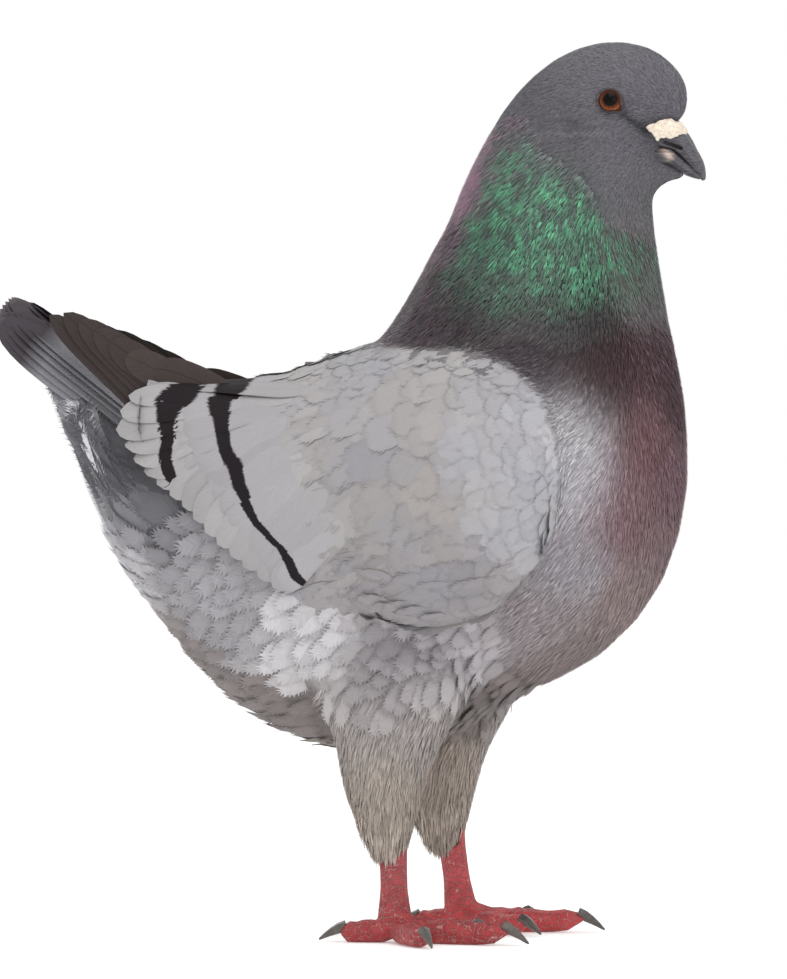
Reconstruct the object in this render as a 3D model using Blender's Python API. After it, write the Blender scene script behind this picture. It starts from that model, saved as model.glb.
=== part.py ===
"""A king pigeon standing at its ease, life size, as a still museum model.

The bird faces +X with +Z up and stands on z = 0, and the origin lies on the floor under the middle
of its box. Lengths are in metres, but the tables of stations below are in millimetres (MM).

The trunk, neck and head are one lofted form, parted by thin cuts. Each station of that form is a flat
ring that runs from a point on the back of the bird to a point on its front. The wings, primaries and
thighs are lofts of their own that lie on the trunk and are cut back to it, with a thin gap.
"""

import math

import bmesh
import bpy
from mathutils import Matrix, Vector

MM = 0.001
GAP = 0.35 * MM  # the clearance that every cut leaves between two neighbouring solids
RIGHT, LEFT = -1, 1  # the side of the bird, as the sign of y
SIDES = {"right": RIGHT, "left": LEFT}

# ---------------------------------------------------------------- driving dimensions
# Stations of the body: back x, z, front x, z, half width, and egg, which widens the back half.
BODY = (
    (-100, 188, -103, 183, 5, 0.0),  # tip of the undertail coverts
    (-88, 180, -98, 167, 15, 0.0),
    (-73, 170, -92.5, 148, 24, 0.0),
    (-59, 165, -84.5, 129, 32, 0.05),
    (-46, 170, -68, 105, 40, 0.1),  # vent, below the rump
    (-33, 175, -44, 78, 46, 0.15),
    (-20, 179, -16, 62, 51, 0.2),
    (-8, 184, 20, 60, 54, 0.2),  # belly
    (2, 191, 54, 76, 55, 0.2),
    (9, 199, 86, 92, 54, 0.15),
    (15.5, 208, 107, 117, 51, 0.1),
    (20.5, 217, 115, 149, 47, 0.0),  # the fullest point of the breast
    (26, 227, 113.5, 179, 41, 0.0),
    (32, 237.5, 107.5, 209, 33, 0.0),
    (37, 249, 103.5, 234, 27, 0.0),  # throat
    (45, 265, 102.5, 245, 21.5, 0.0),
    (56, 280.5, 105, 248, 18, 0.05),
    (69, 291.5, 107, 249.4, 16, 0.3),
    (85, 297, 109, 250.4, 12.2, 0.8),  # crown and chin
    (100.5, 295.3, 108.5, 252.6, 7.2, 0.8),
    (111, 287.5, 106, 256.3, 4.8, 0.7),
    (114.6, 279, 104.5, 260.5, 3.8, 0.5),  # forehead
    (113.4, 272, 106, 264, 2.8, 0.1),
    (111, 269.5, 107.5, 266.5, 1.4, 0.0),
)
NECK_FROM, HEAD_FROM = 11.6, 15.2  # where the cuts lie, counted in stations
CUT = 0.03  # half a cut's width, counted in stations

# Stations of a folded wing: upper edge x, y, z, lower edge x, y, z, and outward bulge.
WING = (
    (83, 44, 161, 82, 46, 146, 3),
    (79, 44, 179, 77, 48, 124, 9),
    (62, 41, 195, 62, 50, 107, 16),
    (36, 29, 201, 40, 51, 101, 22),
    (8, 14, 197, 13, 50, 106, 26),
    (-18, 8, 187, -12, 47, 118, 25),
    (-42, 6, 183.5, -38, 42, 137, 20),
    (-60, 5, 186, -60, 36, 155, 15),
    (-76, 7, 198, -75, 28, 178, 8),
    (-90, 9, 205, -89, 20, 195, 4),
    (-99, 11, 208, -97.5, 16, 203, 2),
    (-102, 12, 207, -101, 14, 204.5, 0.8),
)
PRIMARIES_FROM = 7.3  # where the dark primaries leave the shield, counted in stations

TAIL_BASE = Vector((-42, 0, 152)) * MM
TAIL_RISE, TAIL_ROLL = math.radians(38), math.radians(20)
# Stations of the tail: distance from its base, half width, droop of its sides, half thickness.
TAIL = (
    (0, 11, 2.5, 1.5),
    (22, 15, 3.5, 2.4),
    (48, 18, 3.5, 2.0),
    (70, 20, 3.0, 1.5),
    (85, 18.5, 2.5, 1.1),
    (94, 14.5, 1.5, 0.9),
    (98.5, 8, 0.5, 0.8),
)

STANCE = 27.5 * MM  # from the middle to each foot
FOOT_X = {"right": 21.7 * MM, "left": 32 * MM}
# Stations of a thigh's feathering from the top: height, middle x from the foot, half length, half width.
THIGH = (
    (99, 1, 20, 12),
    (93, 1, 27, 20),
    (79, 0, 25, 22),
    (63, -2, 18, 18),
    (52, -3, 14.5, 14),
    (42, -2.5, 11, 11),
    (34, -1.5, 7.8, 7.8),
    (29, -1, 5.9, 5.9),
)
SHANK_LEAN = {"right": 1 * MM, "left": 6 * MM}  # how far the hock lies behind the foot
SHANK = ((40, 4.5), (28, 4.4), (18, 4.3), (10, 5.2), (4.5, 5.6))  # height, radius
# Toes: heading out from straight ahead, length, radius at the root and at the end, lift of the end.
TOES = {
    "hind": (172, 18, 4.2, 3.6, 0.6),
    "inner": (-32, 29, 4.2, 3.6, 1.0),
    "middle": (9, 40, 4.5, 3.7, 1.6),
    "outer": (58, 31, 4.2, 3.6, 1.0),
}
TOE_SINK = 0.4 * MM  # how far a toe's round underside is pressed flat
CLAW_LENGTH, CLAW_RADIUS = 9.6 * MM, 2.2 * MM

EYE_AT, EYE_RADIUS = Vector((90.8, 11.5, 276.1)) * MM, 5.0 * MM
# The bill, as stations of top x, z, bottom x, z and half width.
UPPER_BILL = (
    (103.5, 268, 100.5, 265.6, 5.4),
    (110, 268, 105.9, 262.4, 5.2),
    (114.2, 265.6, 110, 259.9, 4.5),
    (116.8, 260.8, 113.7, 256.6, 3.6),
    (119, 256.8, 116.3, 253.6, 2.8),
    (119.8, 253.4, 118.2, 251.6, 1.7),
    (119.8, 251, 119, 250.5, 0.7),
)
LOWER_BILL = (
    (100, 264.6, 98.5, 258.5, 4.9),
    (105.6, 262.1, 104.4, 257, 4.8),
    (110, 259.3, 108.6, 255.6, 4.1),
    (113.8, 255.9, 112.3, 252.9, 3.0),
    (116, 253.6, 115, 251.9, 1.9),
    (117.3, 252.2, 116.8, 251.6, 0.8),
)
CERE = (  # the swollen white skin over the nostrils
    (100, 267.8, 99, 265.6, 7.2),
    (104.5, 271.0, 102.2, 264.4, 7.8),
    (110, 271.4, 106.8, 263.2, 6.5),
    (112.6, 268.4, 110.4, 263.6, 4.4),
    (113.8, 266.4, 112.6, 264.8, 1.6),
)


# ---------------------------------------------------------------- materials
def finish(name, colour, roughness, metallic=0.0):
    material = bpy.data.materials.new(name)
    material.use_nodes = True
    shader = material.node_tree.nodes["Principled BSDF"]
    shader.inputs["Base Color"].default_value = (*colour, 1)
    shader.inputs["Roughness"].default_value = roughness
    shader.inputs["Metallic"].default_value = metallic
    return material


# ---------------------------------------------------------------- tools
def smooth(rows, per_span, first=0.0, last=None):
    """Rows of numbers read along a smooth curve through the given rows, from one station to another."""
    last = len(rows) - 1 if last is None else last
    between = [k / per_span for k in range(len(rows) * per_span)]
    found = []
    for at in [first] + [at for at in between if first + 0.1 < at < last - 0.1] + [last]:
        i = min(int(at), len(rows) - 2)
        t = at - i
        p1, p2 = rows[i], rows[i + 1]
        p0 = rows[i - 1] if i else [2 * a - b for a, b in zip(p1, p2)]
        p3 = rows[i + 2] if i + 2 < len(rows) else [2 * b - a for a, b in zip(p1, p2)]
        row = []
        for a, b, c, d in zip(p0, p1, p2, p3):
            bend = (2 * a - 5 * b + 4 * c - d) * t * t + (3 * b - a - 3 * c + d) * t ** 3
            row.append(b + ((c - a) * t + bend) / 2)
        found.append(row)
    return found


def upright_ring(top, bottom, half_width, egg, count):
    """A ring from a point on the back to a point on the front, wider towards the back by egg."""
    points = []
    for k in range(count):
        turn = 2 * math.pi * k / count
        along = (1 - math.cos(turn)) / 2
        wide = half_width * math.sin(turn) * (1 + egg * math.cos(turn))
        points.append(top.lerp(bottom, along) + Vector((0, wide, 0)))
    return points


def lens_ring(upper, lower, outward, bulge, inner_bulge, count):
    """A ring round the chord of a wing, which bulges outwards and is nearly flat inside."""
    points = []
    for k in range(count):
        turn = 2 * math.pi * k / count
        along = (1 - math.cos(turn)) / 2
        rise = math.sin(turn) * (bulge if turn < math.pi else inner_bulge)
        points.append(upper.lerp(lower, along) + outward * rise)
    return points


def loft(name, rings, material=None):
    """One closed object from a row of rings with the same number of points, and flat ends."""
    mesh = bpy.data.meshes.new(name)
    made = bmesh.new()
    loops = [[made.verts.new(p) for p in ring] for ring in rings]
    for one, two in zip(loops, loops[1:]):
        for k in range(len(one)):
            after = (k + 1) % len(one)
            made.faces.new((one[k], one[after], two[after], two[k]))
    made.faces.new(loops[0][::-1])
    made.faces.new(loops[-1])
    bmesh.ops.triangulate(made, faces=made.faces)
    bmesh.ops.recalc_face_normals(made, faces=made.faces)
    if made.calc_volume(signed=True) < 0:
        bmesh.ops.reverse_faces(made, faces=made.faces)
    made.to_mesh(mesh)
    made.free()
    mesh.shade_smooth()
    mesh.set_sharp_from_angle(angle=math.radians(50))
    if material:
        mesh.materials.append(material)
    thing = bpy.data.objects.new(name, mesh)
    bpy.context.scene.collection.objects.link(thing)
    return thing


def helper(thing):
    """Keeps an object out of the model: it only shapes others."""
    thing.hide_render = True
    thing.display_type = "WIRE"
    return thing


def grown(thing, by=GAP):
    """A helper copy of an object, a little larger all round, for cutting its neighbours."""
    copy = bpy.data.objects.new(thing.name + "_cutter", thing.data.copy())
    copy.parent = thing.parent
    copy.location = thing.location
    copy.rotation_euler = thing.rotation_euler
    for vertex in copy.data.vertices:
        vertex.co += vertex.normal * by
    bpy.context.scene.collection.objects.link(copy)
    return helper(copy)


def cut(thing, *cutters):
    for cutter in cutters:
        modifier = thing.modifiers.new(cutter.name, "BOOLEAN")
        modifier.operation = "DIFFERENCE"
        modifier.solver = "EXACT"
        modifier.object = cutter


def join(thing, *others):
    for other in others:
        modifier = thing.modifiers.new(other.name, "BOOLEAN")
        modifier.operation = "UNION"
        modifier.solver = "EXACT"
        modifier.object = helper(other)


def tube(name, path, radii, count, material=None, flatten=1.0):
    """A closed round bar along a path in an upright plane, with its own radius at each point."""
    rings = []
    for i, point in enumerate(path):
        ahead = path[min(i + 1, len(path) - 1)] - path[max(i - 1, 0)]
        side = ahead.cross(Vector((0, 0, 1))).normalized()
        up = side.cross(ahead).normalized()
        turns = [2 * math.pi * k / count for k in range(count)]
        rings.append([
            point + (side * math.cos(a) + up * math.sin(a) * flatten) * radii[i] for a in turns
        ])
    return loft(name, rings, material)


# ---------------------------------------------------------------- trunk, neck and head
def body_part(name, first, last, per_span, count, material):
    rings = []
    for back_x, back_z, front_x, front_z, half_width, egg in smooth(BODY, per_span, first, last):
        back = Vector((back_x, 0, back_z)) * MM
        front = Vector((front_x, 0, front_z)) * MM
        rings.append(upright_ring(back, front, half_width * MM, egg, count))
    return loft(name, rings, material)


def build_body():
    plumage = finish("body_plumage", (0.33, 0.31, 0.33), 0.85)
    dark = finish("neck_plumage", (0.10, 0.12, 0.11), 0.6)
    slate = finish("head_plumage", (0.13, 0.13, 0.15), 0.8)
    trunk = body_part("trunk", 0, NECK_FROM - CUT, 2, 22, plumage)
    neck = body_part("neck", NECK_FROM + CUT, HEAD_FROM - CUT, 2, 22, dark)
    head = body_part("head", HEAD_FROM + CUT, len(BODY) - 1, 2, 22, slate)
    whole = helper(body_part("body_shape", 0, len(BODY) - 1, 2, 22, plumage))
    return head, grown(whole)


# ---------------------------------------------------------------- eyes and bill
def build_eyes(head):
    brown = finish("eye", (0.30, 0.07, 0.02), 0.08)
    for word, side in SIDES.items():
        mesh = bpy.data.meshes.new("eye_" + word)
        ball = bmesh.new()
        bmesh.ops.create_uvsphere(ball, u_segments=10, v_segments=6, radius=EYE_RADIUS)
        ball.to_mesh(mesh)
        ball.free()
        mesh.shade_smooth()
        mesh.materials.append(brown)
        eye = bpy.data.objects.new("eye_" + word, mesh)
        eye.location = EYE_AT * Vector((1, side, 1))
        eye.rotation_euler = (math.pi / 2, 0, 0)  # its poles face outwards
        bpy.context.scene.collection.objects.link(eye)
        cut(head, grown(eye))


def bill_part(name, stations, material):
    rings = []
    for top_x, top_z, bottom_x, bottom_z, half_width in smooth(stations, 2):
        top, bottom = Vector((top_x, 0, top_z)) * MM, Vector((bottom_x, 0, bottom_z)) * MM
        rings.append(upright_ring(top, bottom, half_width * MM, 0.0, 8))
    return loft(name, rings, material)


def build_bill(body_cutter):
    horn = finish("bill", (0.09, 0.085, 0.09), 0.35)
    white = finish("cere", (0.72, 0.65, 0.55), 0.7)
    upper = bill_part("upper_bill", UPPER_BILL, horn)
    lower = bill_part("lower_bill", LOWER_BILL, horn)
    cere = bill_part("cere", CERE, white)
    upper_cutter = grown(upper)
    cut(upper, body_cutter)
    cut(lower, body_cutter, upper_cutter)
    cut(cere, body_cutter, upper_cutter)


# ---------------------------------------------------------------- wings
def wing_part(name, side, first, last, material):
    rings = []
    for row in smooth(WING, 2, first, last):
        upper, lower = Vector(row[0:3]), Vector(row[3:6])
        outward = (lower - upper).cross(Vector((-1, 0, 0))).normalized()
        ring = lens_ring(upper, lower, outward, row[6], 1.0, 18)
        rings.append([Vector((p.x, p.y * side, p.z)) * MM for p in ring])
    return loft(name, rings, material)


def build_wings(body_cutter, tail_cutter):
    pale = finish("wing_plumage", (0.44, 0.43, 0.44), 0.85)
    brown = finish("primary_feathers", (0.07, 0.05, 0.045), 0.7)
    shields = []
    for word, side in SIDES.items():
        shield = wing_part("wing_" + word, side, 0, PRIMARIES_FROM - CUT, pale)
        primaries = wing_part(
            "primaries_" + word, side, PRIMARIES_FROM + CUT, len(WING) - 1, brown
        )
        shields.append(grown(shield))
        cut(shield, body_cutter, tail_cutter)
        cut(primaries, body_cutter, tail_cutter)
    return shields


# ---------------------------------------------------------------- tail
def build_tail(body_cutter):
    grey = finish("tail_feathers", (0.22, 0.22, 0.24), 0.8)
    across = 6  # steps from one side of the fan to the other
    place = (
        Matrix.Translation(TAIL_BASE)
        @ Matrix.Rotation(TAIL_RISE, 4, "Y")
        @ Matrix.Rotation(TAIL_ROLL, 4, "X")
    )
    rings = []
    for away, half_width, droop, half_thickness in smooth(TAIL, 2):
        shape = []
        for sheet in (1, -1):
            for k in range(across + 1):
                share = sheet * (2 * k / across - 1)
                thin = half_thickness * (1 - 0.75 * share ** 4)
                shape.append(Vector((-away, half_width * share, sheet * thin - droop * share ** 2)))
        rings.append([place @ (p * MM) for p in shape])
    tail = loft("tail", rings, grey)
    tail_cutter = grown(tail)
    cut(tail, body_cutter)
    return tail_cutter


# ---------------------------------------------------------------- legs and feet
def toe_path(length, heading, root_radius, end_radius, lift):
    """Points and radii of a toe that lies on the floor, from the ankle outwards, with swollen pads."""
    ahead = Vector((math.cos(heading), math.sin(heading), 0))
    path, radii = [], []
    steps = 7
    for k in range(steps + 1):
        share = k / steps
        pads = 1 + 0.06 * math.cos(2 * math.pi * 2 * share)
        end = math.sqrt(max(0.0, 1 - max(0.0, (share - 0.86) / 0.145) ** 2))
        radius = (root_radius + (end_radius - root_radius) * share) * pads
        rise = radius - TOE_SINK / MM + lift * max(0.0, (share - 0.5) / 0.5) ** 2
        root = 2.5 * max(0.0, 1 - share / 0.25)
        path.append((ahead * length * share + Vector((0, 0, rise + root))) * MM)
        radii.append(max(0.35, end) * radius * MM)
    return path, radii


def build_claw(name, place, tip, heading, foot_cutter, material):
    """A horn sickle that leaves the end of a toe and bends down to the floor."""
    ahead = Vector((math.cos(heading), math.sin(heading), 0))
    path, radii = [], []
    steps = 4
    for k in range(steps + 1):
        share = k / steps
        fall = (tip.z - 0.9 * MM) * share ** 1.4
        path.append(tip + ahead * CLAW_LENGTH * (share * 0.93 - 0.18) - Vector((0, 0, fall)))
        radii.append(CLAW_RADIUS * (1 - 0.86 * share ** 1.3))
    claw = tube(name, path, radii, 5, material)
    claw.parent = place
    cut(claw, foot_cutter)


def build_leg(word, side, body_cutter, wing_cutters, finishes):
    wool, red, horn = finishes
    place = bpy.data.objects.new("place_leg_" + word, None)
    place.location = (FOOT_X[word], side * STANCE, 0)
    bpy.context.scene.collection.objects.link(place)

    rings = []
    for height, middle, half_length, half_width in smooth(THIGH, 2):
        turns = [2 * math.pi * k / 12 for k in range(12)]
        rings.append([
            Vector((middle + half_length * math.cos(a), half_width * math.sin(a), height)) * MM
            - Vector((SHANK_LEAN[word], 0, 0))
            for a in turns
        ])
    thigh = loft("thigh_" + word, rings, wool)
    thigh.parent = place
    thigh_cutter = grown(thigh)
    cut(thigh, body_cutter, *wing_cutters)

    lean = SHANK_LEAN[word]
    top = SHANK[0][0]
    rows = smooth(SHANK, 2)
    path = [Vector((-lean * height / top, 0, height * MM)) for height, _ in rows]
    rings = [
        [
            point + Vector((1.08 * math.cos(a), 0.92 * math.sin(a), 0)) * radius * MM
            for a in (2 * math.pi * k / 12 for k in range(12))
        ]
        for point, (_, radius) in zip(path, rows)
    ]
    shank = loft("shank_" + word, rings, red)
    shank.parent = place
    shank_cutter = grown(shank)
    cut(shank, thigh_cutter)

    foot, ends = None, {}
    for toe, (degrees, length, root_radius, end_radius, lift) in TOES.items():
        heading = side * math.radians(degrees)
        path, radii = toe_path(length, heading, root_radius, end_radius, lift)
        bar = tube("toe_" + toe + "_" + word, path, radii, 8, red)
        bar.parent = place
        ends[toe] = (path[-1] + Vector((0, 0, 1.2 * MM)), heading)
        if foot is None:
            bar.name = "foot_" + word
            foot = bar
        else:
            join(foot, bar)
    floor = loft("floor_cutter_" + word, [
        [Vector((x * 80, y * 80, z)) * MM for x, y in ((-1, -1), (1, -1), (1, 1), (-1, 1))]
        for z in (-20, 0)
    ])
    floor.parent = place
    cut(foot, helper(floor), shank_cutter)
    foot_cutter = helper(foot.copy())
    foot_cutter.name = "foot_shape_" + word
    bpy.context.scene.collection.objects.link(foot_cutter)
    for toe, (tip, heading) in ends.items():
        build_claw("claw_" + toe + "_" + word, place, tip, heading, foot_cutter, horn)


def build_legs(body_cutter, wing_cutters):
    finishes = (
        finish("thigh_plumage", (0.30, 0.26, 0.23), 0.9),
        finish("leg_scales", (0.38, 0.09, 0.08), 0.45),
        finish("claw_horn", (0.06, 0.055, 0.05), 0.35),
    )
    for word, side in SIDES.items():
        build_leg(word, side, body_cutter, wing_cutters, finishes)


def build_pigeon():
    for thing in list(bpy.data.objects):
        bpy.data.objects.remove(thing)
    head, body_cutter = build_body()
    build_eyes(head)
    build_bill(body_cutter)
    tail_cutter = build_tail(body_cutter)
    wing_cutters = build_wings(body_cutter, tail_cutter)
    build_legs(body_cutter, wing_cutters)


build_pigeon()
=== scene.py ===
"""The looks of a king pigeon: skin, scaly legs, bill, eyes and every tract of its plumage.

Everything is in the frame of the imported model: metres, the bird faces +X, +Z is up. The flesh solids
are replaced by one skin that lies inside them, and the feathers grow from it out to their outline.
"""

import math

import bmesh
import bpy
import numpy as np
from mathutils import Matrix, Vector, noise
from mathutils.bvhtree import BVHTree
from mathutils.kdtree import KDTree


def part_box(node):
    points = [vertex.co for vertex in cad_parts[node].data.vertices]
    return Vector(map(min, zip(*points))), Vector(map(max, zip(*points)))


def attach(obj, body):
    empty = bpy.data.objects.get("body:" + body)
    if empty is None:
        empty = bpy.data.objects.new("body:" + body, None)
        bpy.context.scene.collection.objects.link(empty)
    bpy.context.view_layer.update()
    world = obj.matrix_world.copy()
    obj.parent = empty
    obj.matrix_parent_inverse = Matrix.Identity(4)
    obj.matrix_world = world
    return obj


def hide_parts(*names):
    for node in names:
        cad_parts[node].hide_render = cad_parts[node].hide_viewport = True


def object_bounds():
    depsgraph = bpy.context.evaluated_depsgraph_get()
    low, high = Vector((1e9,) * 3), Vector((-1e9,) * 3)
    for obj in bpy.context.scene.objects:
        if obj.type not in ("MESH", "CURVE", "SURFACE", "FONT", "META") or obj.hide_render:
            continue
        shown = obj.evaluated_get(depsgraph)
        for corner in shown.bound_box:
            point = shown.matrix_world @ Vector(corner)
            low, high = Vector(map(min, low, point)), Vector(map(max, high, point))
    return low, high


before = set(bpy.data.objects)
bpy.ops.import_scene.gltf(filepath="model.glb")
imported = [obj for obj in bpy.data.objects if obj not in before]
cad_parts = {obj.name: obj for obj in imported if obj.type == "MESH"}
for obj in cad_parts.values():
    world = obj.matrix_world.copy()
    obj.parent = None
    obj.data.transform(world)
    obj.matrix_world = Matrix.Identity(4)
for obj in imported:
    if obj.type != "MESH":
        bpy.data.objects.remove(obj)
cad_low, cad_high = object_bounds()

# ---------------------------------------------------------------- camera, light and floor
# A long lens looks level at the bird's right side from a little ahead of it. The light is a plain
# soft studio: a white surround, large lamps above, ahead and behind, and a pale floor.
AZIMUTH = math.radians(14)
CAMERA_DISTANCE, CAMERA_HEIGHT, CAMERA_SHIFT, LENS = 2.08, 0.1488, 0.0138, 229.3

along_view = Vector((-math.sin(AZIMUTH), math.cos(AZIMUTH), 0))
to_the_right = Vector((math.cos(AZIMUTH), math.sin(AZIMUTH), 0))
camera_data = bpy.data.cameras.new("camera")
camera_data.lens = LENS
camera = bpy.data.objects.new("camera", camera_data)
camera.location = to_the_right * CAMERA_SHIFT - along_view * CAMERA_DISTANCE
camera.location.z = CAMERA_HEIGHT
camera.rotation_euler = along_view.to_track_quat("-Z", "Y").to_euler()
bpy.context.scene.collection.objects.link(camera)
bpy.context.scene.camera = camera
bpy.context.scene.view_settings.view_transform = "Standard"


def lamp(name, place, size, power, warmth):
    """A square soft lamp that looks at the middle of the bird."""
    light = bpy.data.lights.new(name, "AREA")
    light.size = size
    light.energy = power
    light.color = (1.0, 1.0 - 0.04 * warmth, 1.0 - 0.09 * warmth)
    thing = bpy.data.objects.new(name, light)
    thing.location = place
    aim = Vector((0, 0, (cad_low.z + cad_high.z) / 2)) - Vector(place)
    thing.rotation_euler = aim.to_track_quat("-Z", "Y").to_euler()
    bpy.context.scene.collection.objects.link(thing)


lamp("overhead_lamp", (0.25, -0.55, 1.35), 1.0, 6.0, 0.3)
lamp("front_lamp", (1.1, -1.3, 0.7), 0.9, 3.0, 0.2)
lamp("rear_lamp", (-0.9, 1.2, 1.0), 0.9, 3.0, 0.0)

world = bpy.data.worlds.new("white_surround")
world.use_nodes = True
world.node_tree.nodes["Background"].inputs["Color"].default_value = (1, 1, 1, 1)
world.node_tree.nodes["Background"].inputs["Strength"].default_value = 1.0
bpy.context.scene.world = world

bpy.ops.mesh.primitive_circle_add(vertices=96, radius=12, fill_type="NGON", location=(0, 0, 0))
floor = bpy.context.object
floor.name = "floor"
floor_paint = bpy.data.materials.new("floor_paint")
floor_paint.use_nodes = True
floor_shader = floor_paint.node_tree.nodes["Principled BSDF"]
floor_shader.inputs["Base Color"].default_value = (0.93, 0.93, 0.93, 1)
floor_shader.inputs["Roughness"].default_value = 0.9
floor_shader.inputs["Specular IOR Level"].default_value = 0.1
floor_shader.inputs["Emission Color"].default_value = (1, 1, 1, 1)
floor_shader.inputs["Emission Strength"].default_value = 0.22
floor.data.materials.append(floor_paint)

# ---------------------------------------------------------------- skin
# One closed skin stands for all the flesh: trunk, neck, head, wings, thighs, shanks and feet. It is
# the solids fused at a fine grain, smoothed, and sunk under the surface by the feathers' depth.
MM = 0.001

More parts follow.
